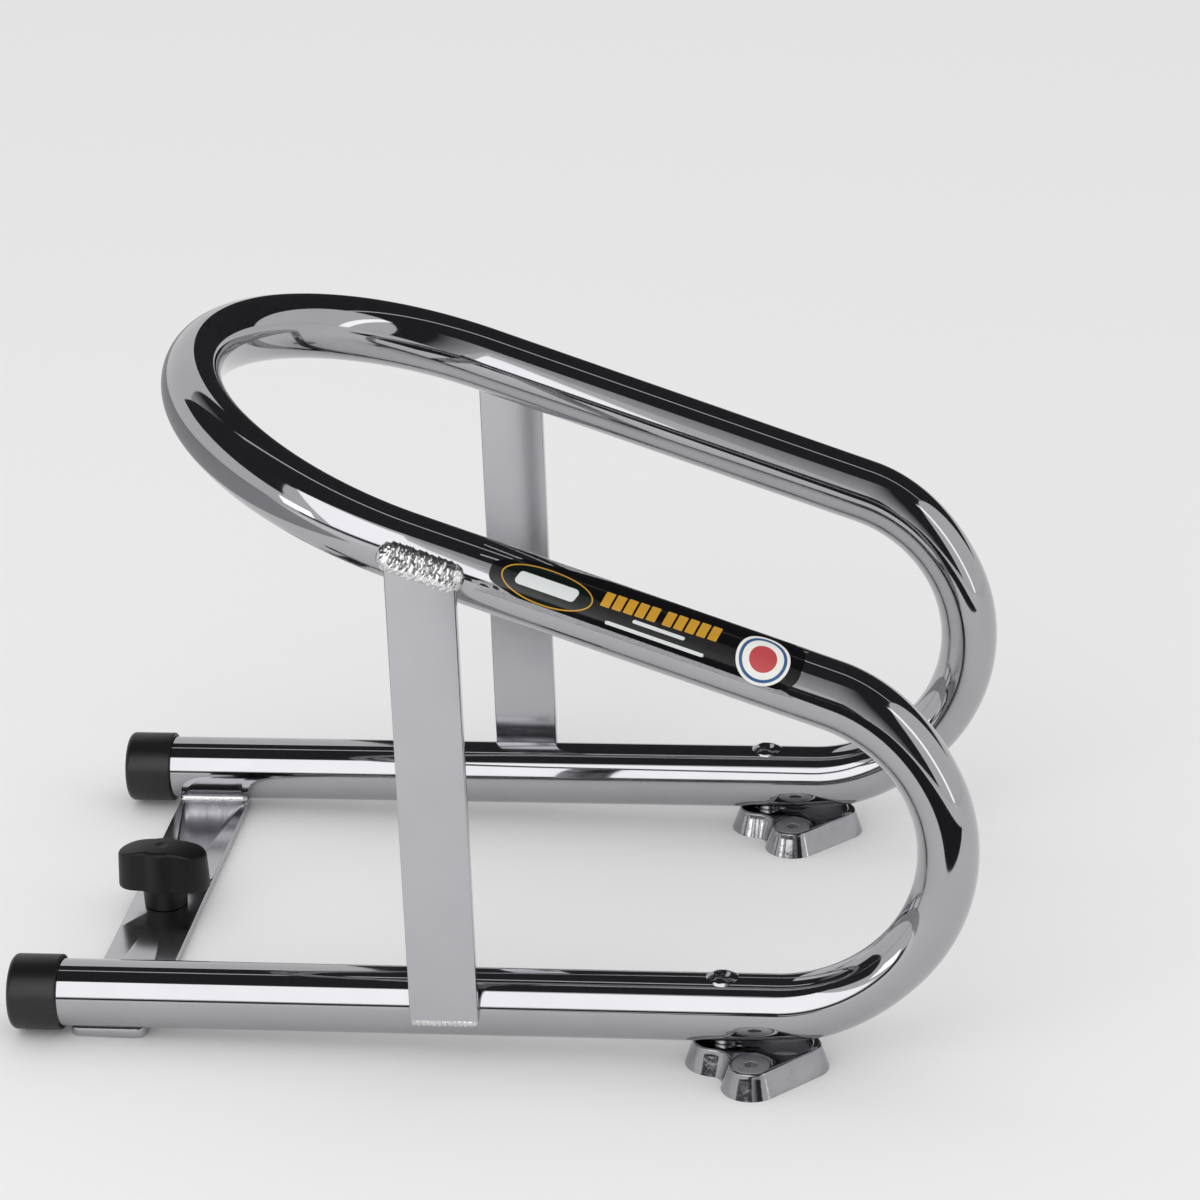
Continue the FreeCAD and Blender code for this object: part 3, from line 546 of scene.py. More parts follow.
# %% [markdown]
# Each anchor pin goes up through the rail, and its hole in the crown was filled with one round puddle.
# The puddle is a shallow dome with a rolled edge and a small crater, drawn on rings round its centre.

# %% Anchor pins and the puddles over them
PIN_SETBACK = 232.2
PIN_R = 3.95
PIN_HEAD_R = 6.3
PIN_HEAD = 2.2
HEAD_TOP = -(TUBE_R + 0.3 + 3.2 + 1.0)


def puddle(side):
    """Height over the rail as a function of the distance from the centre: a dome, a ring wave and a
    crater off the middle. The rim follows the round of the rail, and the underside closes it below."""
    share = np.concatenate([np.linspace(0, 1, 40) ** 0.8, [1.0, 0.0]])
    angle = np.linspace(0, 2 * math.pi, 72, endpoint=False)
    s, a = np.meshgrid(share, angle, indexing="ij")
    reach = 5.5 * s
    x, y = reach * np.cos(a), reach * np.sin(a)
    rail = np.sqrt(TUBE_R ** 2 - y ** 2)
    flat = np.stack([x, y, 0 * x], -1)
    height = 1.4 * (1 - s ** 3) + 0.12 * np.sin(s * 15) * (1 - s) + 0.2 * unevenness(flat, 3.4, 3) * (1 - s ** 4)
    crater = -1.0 * np.exp(-((x - 0.6) ** 2 + (y + 0.4) ** 2) / 3.0)
    z = rail + height + crater - 0.25 * s ** 6
    z[-2:] = rail[-2:] - 0.6
    points = np.stack([PIN_SETBACK + x, side * SIDE_Y + y, z], -1)
    return to_part(points), grid_faces(len(share), len(angle))


def anchor_pin(side):
    """The pin's profile from the middle of its head up the shank to its end inside the weld."""
    foot = np.array([PIN_SETBACK, side * SIDE_Y, 0.0])
    low = HEAD_TOP - PIN_HEAD
    profile = rounded([(low, 0, 0), (low, PIN_HEAD_R, 0.5), (HEAD_TOP, PIN_HEAD_R, 0.3), (HEAD_TOP, PIN_R, 0.3),
                       (TUBE_R - 0.8, PIN_R, 0.2), (TUBE_R - 0.8, 0, 0)])
    points, faces = turned(profile, 64, Z, X, Y, foot)
    return to_part(points), faces


for name, side in SIDES:
    make_piece(f"pin_puddle_{name}", [puddle(side)], PUDDLE_CHROME, "frame", [f"pin_weld_{name}"], 70)
    make_piece(f"headed_pin_{name}", [anchor_pin(side)], PIN_STEEL, "frame", [f"anchor_pin_{name}"])

# %% [markdown]
# The clamp knob is a moulding with two wings on a round core, which comes down under them as the hub.
# Its outline in plan is one formula in polar form, and the rows of the grid carry it from the hub's
# foot, out under the wings, up the sides, over the rounded edge and in over the low dome to the dimple.

# %% Clamp knob
CORE_R, HUB_HEIGHT, KNOB_HEIGHT, DOME_DROP = 7.8, 7.0, 22.2, 3.0
WING_REACH, WING_TIP = 9.6, 6.7
WING_TURN = math.radians(-5.0)
KNOB_EDGE = 1.6


def wing_radius(angle, inset=0.0):
    """Polar radius of the wings: a tip circle near each wing's axis and flanks beside it, drawn in."""
    off = np.abs((angle - WING_TURN + math.pi / 2) % math.pi - math.pi / 2)
    radius = WING_TIP - inset
    tip = WING_REACH * np.cos(off) + np.sqrt(np.maximum(radius ** 2 - (WING_REACH * np.sin(off)) ** 2, 0))
    flank = radius / np.maximum(np.sin(off), 1e-6)
    return np.where(off < math.atan2(radius, WING_REACH), tip, flank)


def head_radius(angle, inset=0.0):
    """The head's outline: a soft maximum of the wings and the core rounds the corners between them."""
    return (wing_radius(angle, inset) ** 22 + (CORE_R - inset) ** 22) ** (1 / 22)


def dome(radius):
    """Height of the knob's top: it falls with the square of the distance from the axis."""
    return KNOB_HEIGHT - DOME_DROP * (radius / 16.5) ** 2


def clamp_knob():
    """Rings of polar radii with their heights: the hub, the wings' underside, their sharp lower edge,
    their sides with a little draft, the upper edge as an arc that ends on the dome, and the dimple."""
    angle = np.linspace(0, 2 * math.pi, 360, endpoint=False)
    one = np.ones_like(angle)
    rings, heights = [], []
    for radius, height in ((0.0, 0.0), (CORE_R - 0.75, 0.0), (CORE_R - 0.4, 0.12), (CORE_R - 0.3, 0.5),
                           (CORE_R - 0.1, HUB_HEIGHT - 0.6), (CORE_R, HUB_HEIGHT - 0.2)):
        rings.append(radius * one)
        heights.append(height * one)
    outline = head_radius(angle)
    for share, inset, height in ((0.04, 0, 0.0), (0.5, 0, 0.0), (1, 0.35, 0.0), (1, 0.1, 0.1), (1, 0.0, 0.35)):
        rings.append(CORE_R + 0.05 + np.maximum(outline - inset - CORE_R - 0.05, 0.04) * share)
        heights.append((HUB_HEIGHT + height) * one)
    last_turn = math.radians(70)
    inner = head_radius(angle, 0.5)
    foot = dome(inner - KNOB_EDGE * (1 - math.cos(last_turn))) - KNOB_EDGE * math.sin(last_turn)
    for climb in np.linspace(0.12, 0.92, 6):
        rings.append(outline + (inner - outline) * climb)
        heights.append(HUB_HEIGHT + 0.35 + climb * (foot - HUB_HEIGHT - 0.35))
    for turn in np.linspace(0, last_turn, 8):
        rings.append(inner - KNOB_EDGE * (1 - math.cos(turn)))
        heights.append(foot + KNOB_EDGE * math.sin(turn))
    edge = rings[-1]
    for share in np.linspace(0.94, 0.0, 20, endpoint=False):
        radius = np.maximum(edge * share, 2.4)
        rings.append(radius + 0.12 * share)
        heights.append(dome(radius))
    for radius, dip in ((2.2, 0.03), (1.7, 0.1), (0.9, 0.25), (0.0, 0.3)):
        rings.append(radius * one)
        heights.append(dome(radius * one) - dip)
    r, z = np.array(rings), np.array(heights)
    points = np.stack([r * np.cos(angle), r * np.sin(angle), z], -1) + HUB_FOOT
    return to_part(points), grid_faces(len(r), len(angle))


make_piece("lobed_knob", [clamp_knob()], KNOB_PLASTIC, "knob", ["clamp_knob"], crease=50)
NODES["knob_stud"].data.materials.clear()
NODES["knob_stud"].data.materials.append(PIN_STEEL)

# %% [markdown]
# A floor bracket is a drafted casting: its sides lean outwards towards the foot so that it leaves the
# mould. Its outline is four kinds of arc that touch each other. Because every point of the outline has
# a known outward direction, drawing it in by an inset is one step along that direction, and this makes
# the lean and the rounded rim. The flat faces have holes, so they are filled by triangulation.

# %% Outline of a floor bracket
BRACKET_HEIGHT, LIP, DRAFT = 8.5, 3.2, 2.8
NOSE_R, NOSE_X = 10.5, -2.3
HEEL_R, HEEL_X = 10.0, 24.2
LOBE_R, LOBE_X, LOBE_Y = 9.7, 10.0, 16.3
WAIST_R = 4.0
SLIDE = 19.9
SLOT_R, WIDE_R, POCKET_R = 4.3, 8.8, 6.75
SCREW_R, SCREW_HEAD_R, SCREW_FIT = 3.15, 6.3, 0.05


def arc(centre, radius, start, end, count, hollow=False):
    """Points and outward directions of an arc. A hollow one has its outward direction towards its centre."""
    angle = np.linspace(start, end, count)
    spoke = np.stack([np.cos(angle), np.sin(angle)], -1)
    return np.asarray(centre) + radius * spoke, -spoke if hollow else spoke


def half_outline():
    """The +y half from the nose to the heel: nose, hollow waist, lobe and heel. The waist's centre lies
    one sum of radii from the nose's centre and from the lobe's; the lobe and the heel share a tangent."""
    nose, lobe, heel = np.array([NOSE_X, 0.0]), np.array([LOBE_X, LOBE_Y]), np.array([HEEL_X, 0.0])
    near, far = NOSE_R + WAIST_R, LOBE_R + WAIST_R
    gap = lobe - nose
    distance = np.linalg.norm(gap)
    along = (near ** 2 - far ** 2 + distance ** 2) / (2 * distance)
    unit = gap / distance
    waist = nose + unit * along + np.array([-unit[1], unit[0]]) * math.sqrt(near ** 2 - along ** 2)
    to_nose, to_lobe = nose - waist, lobe - waist
    nose_angle = math.atan2(-to_nose[1], -to_nose[0])
    lobe_angle = math.atan2(-to_lobe[1], -to_lobe[0]) % (2 * math.pi)
    gap = heel - lobe
    lean = math.asin((LOBE_R - HEEL_R) / np.linalg.norm(gap))
    tangent = math.atan2(gap[1], gap[0]) + math.pi / 2 - lean
    waist_start = math.atan2(to_nose[1], to_nose[0])
    waist_end = math.atan2(to_lobe[1], to_lobe[0])
    if waist_end < waist_start:
        waist_end += 2 * math.pi
    return [arc(nose, NOSE_R, math.pi, nose_angle, 20), arc(waist, WAIST_R, waist_start, waist_end, 14, True),
            arc(lobe, LOBE_R, lobe_angle, tangent, 26), arc(heel, HEEL_R, tangent, 0.0, 20)]


def bracket_outline():
    """Both halves as one closed ring of points with their outward directions."""
    points = np.concatenate([part[0] for part in half_outline()])
    outward = np.concatenate([part[1] for part in half_outline()])
    flip = np.array([1, -1])
    points = np.concatenate([points, points[-2:0:-1] * flip])
    outward = np.concatenate([outward, outward[-2:0:-1] * flip])
    return points, outward


def keyhole_outline(slot):
    """A slot of that half width from the pin's place to the wide round hole, with outward directions."""
    meet = math.asin(slot / WIDE_R)
    end, end_out = arc((0, 0), slot, math.pi / 2, 3 * math.pi / 2, 24)
    wide, wide_out = arc((SLIDE, 0), WIDE_R, math.pi + meet, 3 * math.pi - meet, 48)
    return np.concatenate([end, wide]), np.concatenate([end_out, wide_out])


outline, outline_out = bracket_outline()
print("bracket outline:", len(outline), "points, x", outline[:, 0].min().round(2), "to", outline[:, 0].max().round(2))

# %% Floor brackets and their screws
def wall_rows(rows):
    """A closed strip from rows of flat points and a height each."""
    points = np.stack([np.column_stack([flat, np.full(len(flat), height)]) for flat, height in rows])
    return points.reshape(-1, 3), grid_faces(len(rows), points.shape[1])


def ring(radius, centre, columns=64):
    """A circle of flat points."""
    angle = np.linspace(0, 2 * math.pi, columns, endpoint=False)
    return np.asarray(centre) + radius * np.stack([np.cos(angle), np.sin(angle)], -1)


def filled(outer, holes, height):
    """A flat face at one height: the outer ring triangulated, without the triangles inside the holes."""
    rings = [outer, *holes]
    points = np.concatenate(rings)
    edges, start = [], 0
    for one in rings:
        number = np.arange(len(one))
        edges.append(start + np.stack([number, (number + 1) % len(one)], -1))
        start += len(one)
    found, _, faces, *_ = delaunay_2d_cdt(points.tolist(), np.concatenate(edges).tolist(), [], 1, 1e-7)
    found = np.array([list(point) for point in found])
    faces = np.array(faces)
    centres = found[faces].mean(axis=1)
    keep = inside(centres, outer)
    for hole in holes:
        keep &= ~inside(centres, hole)
    return np.column_stack([found, np.full(len(found), height)]), faces[keep]


def inside(points, polygon):
    """True for each point in the polygon: a ray to the right crosses its edges an odd number of times."""
    x, y = points[:, 0:1], points[:, 1:2]
    x0, y0 = polygon[:, 0], polygon[:, 1]
    x1, y1 = np.roll(x0, -1), np.roll(y0, -1)
    crosses = (y0 > y) != (y1 > y)
    with np.errstate(divide="ignore", invalid="ignore"):
        at = x0 + (y - y0) * (x1 - x0) / (y1 - y0)
    return (crosses & (x < at)).sum(axis=1) % 2 == 1


def bracket_parts():
    """Outer wall, rounded rim, top, keyhole with its lip and pocket, countersinks, and the underside."""
    rim, lip_edge = 0.8, 0.45
    side_rows = [(outline - outline_out * DRAFT * z / BRACKET_HEIGHT, z)
                 for z in np.linspace(0, BRACKET_HEIGHT - rim, 6)]
    inset = DRAFT * (1 - rim / BRACKET_HEIGHT)
    for turn in np.linspace(0, math.pi / 2, 7)[1:]:
        side_rows.append((outline - outline_out * (inset + rim * 1.25 * (1 - math.cos(turn))),
                          BRACKET_HEIGHT - rim + rim * math.sin(turn)))
    slot, slot_out = keyhole_outline(SLOT_R)
    pocket, _ = keyhole_outline(POCKET_R)
    key_rows = [(slot + slot_out * lip_edge * (1 - math.sin(turn)),
                 BRACKET_HEIGHT - lip_edge * (1 - math.cos(turn)))
                for turn in np.linspace(0, math.pi / 2, 5)]
    lip_low = BRACKET_HEIGHT - LIP
    key_rows += [(slot, lip_low), (pocket, lip_low), (pocket, 0.0)]
    top_holes, low_holes, parts = [key_rows[0][0]], [pocket], [wall_rows(side_rows), wall_rows(key_rows)]
    head = SCREW_HEAD_R + SCREW_FIT
    shank = SCREW_R + SCREW_FIT
    for across in (-1, 1):
        centre = (LOBE_X, across * LOBE_Y)
        sink = [(ring(head + 0.25, centre), BRACKET_HEIGHT), (ring(head + 0.05, centre), BRACKET_HEIGHT - 0.1),
                (ring(head, centre), BRACKET_HEIGHT - 0.3),
                (ring(shank, centre), BRACKET_HEIGHT - 0.3 - (head - shank)), (ring(shank, centre), 0.0)]
        top_holes.append(sink[0][0])
        low_holes.append(sink[-1][0])
        parts.append(wall_rows(sink))
    parts.append(filled(side_rows[-1][0], top_holes, BRACKET_HEIGHT))
    parts.append(filled(side_rows[0][0], low_holes, 0.0))
    return parts


def socket_screw():
    """A countersunk screw. Columns go round; rows run from the shank's end up the cone, over the flat
    head and down the hexagonal socket, whose polar radius is the half width over the cosine of the angle
    from the middle of the nearest flat."""
    angle = np.linspace(0, 2 * math.pi, 96, endpoint=False)
    sixth = math.pi / 3
    hexagon = 2.0 / np.cos((angle + sixth / 2) % sixth - sixth / 2)
    one = np.ones_like(angle)
    top = BRACKET_HEIGHT - 0.05
    rows = [(0 * one, 0.3), ((SCREW_R - 0.4) * one, 0.3), (SCREW_R * one, 0.7),
            (SCREW_R * one, BRACKET_HEIGHT - 3.25), (6.1 * one, BRACKET_HEIGHT - 0.35), (6.15 * one, top - 0.2),
            (5.95 * one, top), (hexagon * 1.08, top), (hexagon, top - 0.2), (hexagon, top - 2.2),
            (hexagon * 0.5, top - 2.7), (0 * one, top - 2.9)]
    points = np.stack([np.stack([r * np.cos(angle), r * np.sin(angle), height * one], -1) for r, height in rows])
    return points.reshape(-1, 3), grid_faces(len(rows), len(angle))


for name, side in SIDES:
    low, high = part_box(f"floor_bracket_{name}")
    slot_end = np.array([low.x / MM - (NOSE_X - NOSE_R), (low.y + high.y) / 2 / MM, 0.0])
    placed = [((points + slot_end) * MM, faces) for points, faces in bracket_parts()]
    body = f"floor_bracket_{name}"
    make_piece(f"cast_bracket_{name}", placed, CASTING, body, [body], crease=30)
    for where, across in (("outer", side), ("inner", -side)):
        points, faces = socket_screw()
        centre = slot_end + [LOBE_X, across * LOBE_Y, 0]
        make_piece(f"socket_screw_{name}_{where}", [((points + centre) * MM, faces)], ZINC, body,
                   [f"floor_screw_{name}_{where}"], crease=30)

# %% [markdown]
# The strip on the near upper rail is a clear film with a printed black shape, an oval and a few plain
# bars, and a round paper sticker near its end. Each is a thin patch that follows the round of the tube:
# a point along the rail and an angle round it give its place, a hair above the chrome.

# %% Patches on the upper rail
def on_upper_rail(along, around, lift):
    """Place on the near upper rail: along is its distance in millimetres from the U-bend, around is the
    arc length over the tube from its outermost line, upwards, and lift is the height over the chrome."""
    angle = around / TUBE_R
    radius = TUBE_R + lift
    start = RAIL_LENGTH * X + BEND_R * Z + BEND_R * UPPER_NORMAL - SIDE_Y * Y
    out = -np.cos(angle)[..., None] * Y + np.sin(angle)[..., None] * UPPER_NORMAL
    return start + along[..., None] * UPPER_DIR + np.asarray(radius)[..., None] * out


def patch(edge_along, edge_around, centre, lift, thickness, rings=14):
    """A thin closed patch: rings of points shrink from an outline to its centre, on top and below."""
    share = np.concatenate([np.linspace(0, 1, rings), np.linspace(1, 0, rings)])
    level = np.concatenate([np.full(rings, lift + thickness), np.full(rings, lift)])
    along = centre[0] + share[:, None] * (edge_along - centre[0])
    around = centre[1] + share[:, None] * (edge_around - centre[1])
    points = on_upper_rail(along, around, level[:, None] * np.ones_like(along))
    return to_part(points), grid_faces(len(share), len(edge_along))


def oval(centre, half_length, half_width, count=96):
    """An ellipse on the unrolled tube."""
    angle = np.linspace(0, 2 * math.pi, count, endpoint=False)
    return centre[0] + half_length * np.cos(angle), centre[1] + half_width * np.sin(angle)


def outlined(corners, count=160):
    """A rounded polygon on the unrolled tube, resampled at even steps so that it follows the curve."""
    ring_points = rounded(corners, True, 8)
    ring_points = np.concatenate([ring_points, ring_points[:1]])
    run = np.concatenate([[0], np.cumsum(np.linalg.norm(np.diff(ring_points, axis=0), axis=1))])
    evenly = np.linspace(0, run[-1], count, endpoint=False)
    return np.interp(evenly, run, ring_points[:, 0]), np.interp(evenly, run, ring_points[:, 1])


def slab(along, around, length, width, corner, lean=0.0):
    """A rounded rectangle about a place; its upper edge is shifted along the rail by the lean."""
    a, b, half = length / 2, width / 2, lean / 2
    return outlined([(along - a - half, around - b, corner), (along + a - half, around - b, corner),
                     (along + a + half, around + b, corner), (along - a + half, around + b, corner)], 60)


def printed(name, colour, sharp, worn):
    """Ink under a clear film: a flat colour that is faintly uneven, with the film's gloss over it."""
    material, tree, shader, place = new_finish(name)
    cloud = noise(tree, place, 5.0, 3.0)
    tree.links.new(blend_colours(tree, cloud, colour, worn), shader.inputs["Base Color"])
    tree.links.new(between(tree, cloud, sharp, sharp + 0.06), shader.inputs["Roughness"])
    shader.inputs["IOR"].default_value = 1.5
    return material


def clear_film(name):
    """Polyester film: nearly invisible, but it greys the chrome a little and shows at its cut edges."""
    material, tree, shader, place = new_finish(name)
    cloud = noise(tree, place, 12.0, 2.0)
    tree.links.new(blend_colours(tree, cloud, "#F4F4F4", "#E6E6E8"), shader.inputs["Base Color"])
    tree.links.new(between(tree, cloud, 0.04, 0.10), shader.inputs["Roughness"])
    shader.inputs["IOR"].default_value = 1.5
    shader.inputs["Transmission Weight"].default_value = 1.0
    return material


print("finishes in all:", len(bpy.data.materials))

# %% The strip
PRINT_BLACK = printed("black_ink_under_film", "#0A0A0C", 0.10, "#111113")
PRINT_GOLD = printed("gold_ink_under_film", "#C9962E", 0.14, "#B98A2C")
PRINT_WHITE = printed("white_ink_under_film", "#D9DCDC", 0.14, "#CBCECE")
PRINT_GREEN = printed("dark_green_ink_under_film", "#0B1512", 0.10, "#0E1A16")
PAPER = printed("coated_white_paper", "#ECECE6", 0.22, "#E2E2DC")
PRINT_BLUE = printed("blue_ink_on_paper", "#3C5F92", 0.22, "#365685")
PRINT_RED = printed("red_ink_on_paper", "#C24A4E", 0.22, "#B24448")
FILM = clear_film("clear_polyester_film")


STRIP_ENDS = (11.5, 117.7)
OVAL_CENTRE, OVAL_LENGTH, OVAL_WIDTH = (94.9, 7.2), 29.8, 12.2
STICKER_CENTRE, STICKER_R = (24.5, 8.2), 8.6


def stick(name, shapes, level, material, rings=10):
    """One printed or cut layer of the strip: each outline becomes a patch about its own middle."""
    parts = []
    for along, around in shapes:
        middle = ((along.min() + along.max()) / 2, (around.min() + around.max()) / 2)
        parts.append(patch(along, around, middle, level, 0.03, rings))
    make_piece(name, parts, material, "frame", crease=60)


def ellipse_ring(centre, half_length, half_width, line):
    """A closed ribbon between two ellipses: four rings of points, two on top and two below."""
    outer = oval(centre, half_length, half_width, 128)
    inner = oval(centre, half_length - line, half_width - line, 128)
    along = np.stack([outer[0], inner[0], inner[0], outer[0], outer[0]])
    around = np.stack([outer[1], inner[1], inner[1], outer[1], outer[1]])
    return along, around


def ribbon(centre, half_length, half_width, line, level):
    """The ellipse's ribbon as a surface over the tube, a thirtieth of a millimetre thick."""
    along, around = ellipse_ring(centre, half_length, half_width, line)
    lift = np.array([level + 0.03, level + 0.03, level, level, level + 0.03])[:, None] * np.ones_like(along)
    return to_part(on_upper_rail(along, around, lift)), grid_faces(5, along.shape[1])


middle = sum(STRIP_ENDS) / 2
stick("strip_film", [slab(middle, 11.4, STRIP_ENDS[1] - STRIP_ENDS[0], 25.0, 0.6)], 0.01, FILM, 16)
stick("strip_label", [outlined([(113.4, 3.6, 3.0), (113.4, 9.6, 3.4), (104.0, 14.4, 6.0), (76.0, 18.8, 30.0),
                                (48.0, 19.8, 30.0), (12.0, 19.8, 6.5), (11.9, 0.3, 6.5), (48.0, 0.6, 30.0),
                                (86.0, 0.8, 30.0), (103.0, 0.9, 8.0)])], 0.05, PRINT_BLACK, 16)
stick("strip_oval_field", [oval(OVAL_CENTRE, OVAL_LENGTH / 2 - 0.3, OVAL_WIDTH / 2 - 0.3)], 0.09, PRINT_GREEN)
make_piece("strip_oval_line", [ribbon(OVAL_CENTRE, OVAL_LENGTH / 2, OVAL_WIDTH / 2, 0.45, 0.12)], PRINT_GOLD,
           "frame", crease=60)

# %% Plain bars in place of words
TITLE_FIRST, TITLE_LAST, TITLE_BARS, WORD_GAP = 77.6, 39.2, 10, 1.5
bar_step = (TITLE_FIRST - TITLE_LAST - WORD_GAP) / TITLE_BARS
title = []
for number in range(TITLE_BARS):
    along = TITLE_FIRST - bar_step * (number + 0.5) - (WORD_GAP if number >= TITLE_BARS / 2 else 0)
    title.append(slab(along, 9.9 + 0.12 * number, bar_step - 0.75, 5.4, 0.25, -1.0))
stick("strip_title_bars", title, 0.09, PRINT_GOLD, 4)
stick("strip_small_bars", [slab(58.0, 5.9, 17.0, 1.15, 0.3, -0.2), slab(58.4, 2.9, 32.4, 1.15, 0.3, -0.2)],
      0.09, PRINT_WHITE, 4)
stick("strip_oval_bar", [slab(95.0, 7.4, 19.6, 4.4, 1.2, -1.6)], 0.12, PRINT_WHITE, 6)

# %% Round sticker
stick("sticker_paper", [oval(STICKER_CENTRE, STICKER_R, STICKER_R)], 0.12, PAPER)
make_piece("sticker_ring", [ribbon(STICKER_CENTRE, STICKER_R - 1.0, STICKER_R - 1.0, 1.0, 0.16)], PRINT_BLUE,
           "frame", crease=60)
stick("sticker_dot", [oval(STICKER_CENTRE, STICKER_R - 4.2, STICKER_R - 4.2)], 0.16, PRINT_RED)

# %% [markdown]
# The room is a plain pale floor under a pale sky, with one large soft lamp in front and above, as in a
# product photograph. Chrome shows nothing of its own, so a studio gives it something dark to mirror as
# well: black cards outside the picture. They are seen by reflections only.

# %% Floor and sky
def plain_surface(name, colour, roughness):
    """Painted or paper surface for the room."""
    material, tree, shader, place = new_finish(name)
    cloud = noise(tree, place, 400.0, 2.0)
    tree.links.new(blend_colours(tree, cloud, colour, colour), shader.inputs["Base Color"])
    shader.inputs["Roughness"].default_value = roughness
    shader.inputs["Specular IOR Level"].default_value = 0.0
    return material


def stage_mesh(name, points, faces, material):
    """A mesh that belongs to the room and not to the object."""
    mesh = bpy.data.meshes.new(name)
    mesh.from_pydata(np.asarray(points).tolist(), [], faces)
    mesh.materials.append(material)
    item = bpy.data.objects.new(name, mesh)
    bpy.context.scene.collection.objects.link(item)
    return item


FLOOR_R = 8.0
floor_ring = np.column_stack([ring(FLOOR_R, (0, 0), 96), np.zeros(96)])
stage_mesh("floor", floor_ring, [list(range(96))], plain_surface("pale_floor", "#F6F6F6", 1.0))

world = bpy.context.scene.world or bpy.data.worlds.new("studio")
bpy.context.scene.world = world
world.use_nodes = True
sky = world.node_tree.nodes["Background"]
sky.inputs["Color"].default_value = linear("#FFFFFF")
sky.inputs["Strength"].default_value = 0.80

# %% Lamps and cards
def soft_lamp(name, place, target, size, watts):
    """A rectangular soft lamp that looks at a target."""
    data = bpy.data.lights.new(name, "AREA")
    data.shape = "RECTANGLE"
    data.size, data.size_y = size
    data.energy = watts
    lamp = bpy.data.objects.new(name, data)
    bpy.context.scene.collection.objects.link(lamp)
    lamp.location = place
    back = np.array(place) - np.array(target)
    lamp.rotation_mode = "QUATERNION"
    lamp.rotation_quaternion = Vector(-back).to_track_quat("-Z", "Y")
    return lamp


CARD_R = 2.1
CARD_CLOTH = plain_surface("black_card_cloth", "#363638", 1.0)


def fading_cloth(name, pale, dark, start, end):
    """Cloth that darkens along X, from pale at one place to dark at the other, in metres."""
    material, tree, shader, place = new_finish(name)
    x = add_node(tree, "ShaderNodeSeparateXYZ", {"Vector": place}).outputs["X"]
    share = add_node(tree, "ShaderNodeMapRange", {"Value": x, "From Min": start, "From Max": end}).outputs[0]
    tree.links.new(blend_colours(tree, share, pale, dark), shader.inputs["Base Color"])
    shader.inputs["Roughness"].default_value = 1.0
    shader.inputs["Specular IOR Level"].default_value = 0.0
    return material


CEILING_CLOTH = fading_cloth("fading_ceiling_cloth", "#C4C4C4", "#363638", -1.9, -1.1)
RIGHT_CLOTH = fading_cloth("fading_right_cloth", "#D8D8D8", "#363638", 0.42, 1.3)


def mirror_card(name, points, faces, cloth=CARD_CLOTH):
    """A dark card that only reflections see."""
    card = stage_mesh(name, points, faces, cloth)
    card.visible_camera = False
    card.visible_diffuse = False
    card.visible_shadow = False
    card.visible_transmission = False
    return card


def curved_card(name, rises, reach, cloth=CARD_CLOTH):
    """A card curved about the rails' direction. rises are its two edges as angles over the horizon in
    front, up over the head; reach is its extent along X in metres."""
    angle = np.radians(np.linspace(*rises, 24))
    x = np.linspace(*reach, 8)
    a, b = np.meshgrid(angle, x, indexing="ij")
    points = np.stack([b, -CARD_R * np.cos(a), CARD_R * np.sin(a)], -1).reshape(-1, 3)
    return mirror_card(name, points, grid_faces(24, 8, wrap=False).tolist(), cloth)


def side_card(name, turns, rises):
    """A card curved round the object. turns are its two edges from the front towards the left, in
    degrees, and rises are its lower and upper edge as angles over the floor."""
    turn = np.radians(np.linspace(*turns, 24))
    rise = np.radians(np.linspace(*rises, 12))
    a, b = np.meshgrid(turn, rise, indexing="ij")
    points = 2.0 * np.stack([-np.sin(a) * np.cos(b), -np.cos(a) * np.cos(b), np.sin(b)], -1).reshape(-1, 3)
    return mirror_card(name, points, grid_faces(24, 12, wrap=False).tolist())


def floor_mat(name, corners, colour):
    """A flat mat on the floor that only reflections see."""
    points = [(x, y, 0.002) for x, y in corners]
    mirror_card(name, points, [tuple(range(len(points)))], plain_surface(name + "_cloth", colour, 1.0))


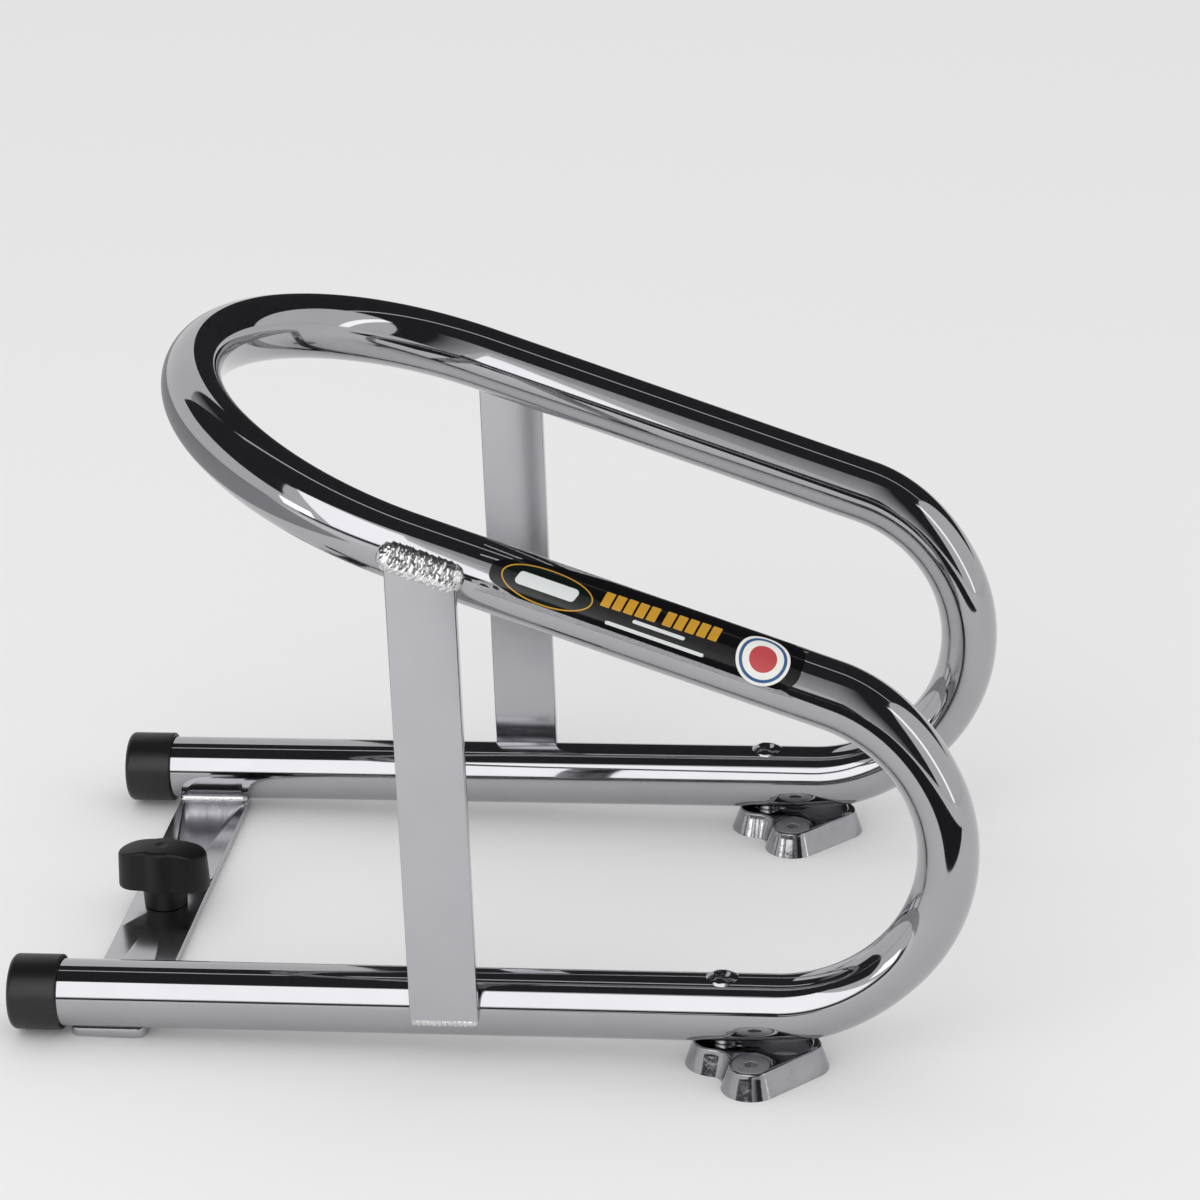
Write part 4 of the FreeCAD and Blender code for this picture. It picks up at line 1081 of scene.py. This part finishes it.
soft_lamp("key_lamp", (-0.39, -1.46, 1.01), (-0.06, 0, 0.05), (1.32, 1.6), 7.4)
soft_lamp("left_strip_lamp", (-1.36, -1.24, 0.42), (0, 0, 0.05), (0.46, 0.34), 1.3)
soft_lamp("right_strip_lamp", (1.9, -0.55, 0.75), (0.1, 0, 0.1), (0.22, 1.5), 1.3)
curved_card("front_ceiling_card", (61, 101.5), (-2.4, 2.4), CEILING_CLOTH)
curved_card("back_ceiling_card", (104.5, 126), (-2.4, 2.4), CEILING_CLOTH)
curved_card("back_wall_card", (126, 174), (-0.45, 2.4))
curved_card("front_right_card", (2, 61), (0.42, 2.4), RIGHT_CLOTH)
curved_card("low_front_card", (2, 7.5), (-2.4, 0.42))
curved_card("low_right_card", (0, 8.8), (-0.1, 0.42))
side_card("left_card", (52, 116), (24, 64))
floor_mat("dark_front_mat", [(-0.34, -2.0), (0.6, -2.0), (0.6, -0.20), (0.12, -0.26), (-0.10, -0.9)], "#2C2C2E")
floor_mat("grey_left_mat", [(-3.0, -1.3), (-0.30, -0.5), (-0.27, 0.25), (-0.6, 2.2), (-3.0, 2.2)], "#AEAEB0")
print("lamps and cards are up")

# %% [markdown]
# The camera stands far off with a long lens, as the photographer's did, so the rails hardly converge.
# Its direction is given in the rails' own frame by a yaw, a pitch and a roll.

# %% Camera
CAMERA_PLACE = np.array([357.6, -1302.2, 641.0])
YAW, PITCH, ROLL = math.radians(7.529), math.radians(22.208), math.radians(-2.235)
FOCAL_PIXELS, FRAME_PIXELS, SENSOR = 4246.4, 1200, 36.0


def camera_axes():
    """Right, up and back of the picture: level axes from yaw and pitch, then turned by the roll."""
    ahead = np.array([-math.sin(YAW) * math.cos(PITCH), math.cos(YAW) * math.cos(PITCH), -math.sin(PITCH)])
    right = np.array([math.cos(YAW), math.sin(YAW), 0.0])
    up = np.cross(right, ahead)
    turned_right = right * math.cos(ROLL) + up * math.sin(ROLL)
    turned_up = -right * math.sin(ROLL) + up * math.cos(ROLL)
    return np.stack([turned_right, turned_up, -ahead]) @ RAIL_AXES


lens = bpy.data.cameras.new("camera")
lens.sensor_width = SENSOR
lens.lens = FOCAL_PIXELS / FRAME_PIXELS * SENSOR
camera = bpy.data.objects.new("camera", lens)
bpy.context.scene.collection.objects.link(camera)
pose = np.eye(4)
pose[:3, :3] = camera_axes().T
pose[:3, 3] = to_part(CAMERA_PLACE)
camera.matrix_world = Matrix(pose.tolist())
bpy.context.scene.camera = camera
bpy.context.scene.view_settings.view_transform = "Standard"
print("camera at", pose[:3, 3].round(4), "lens", round(lens.lens, 2))
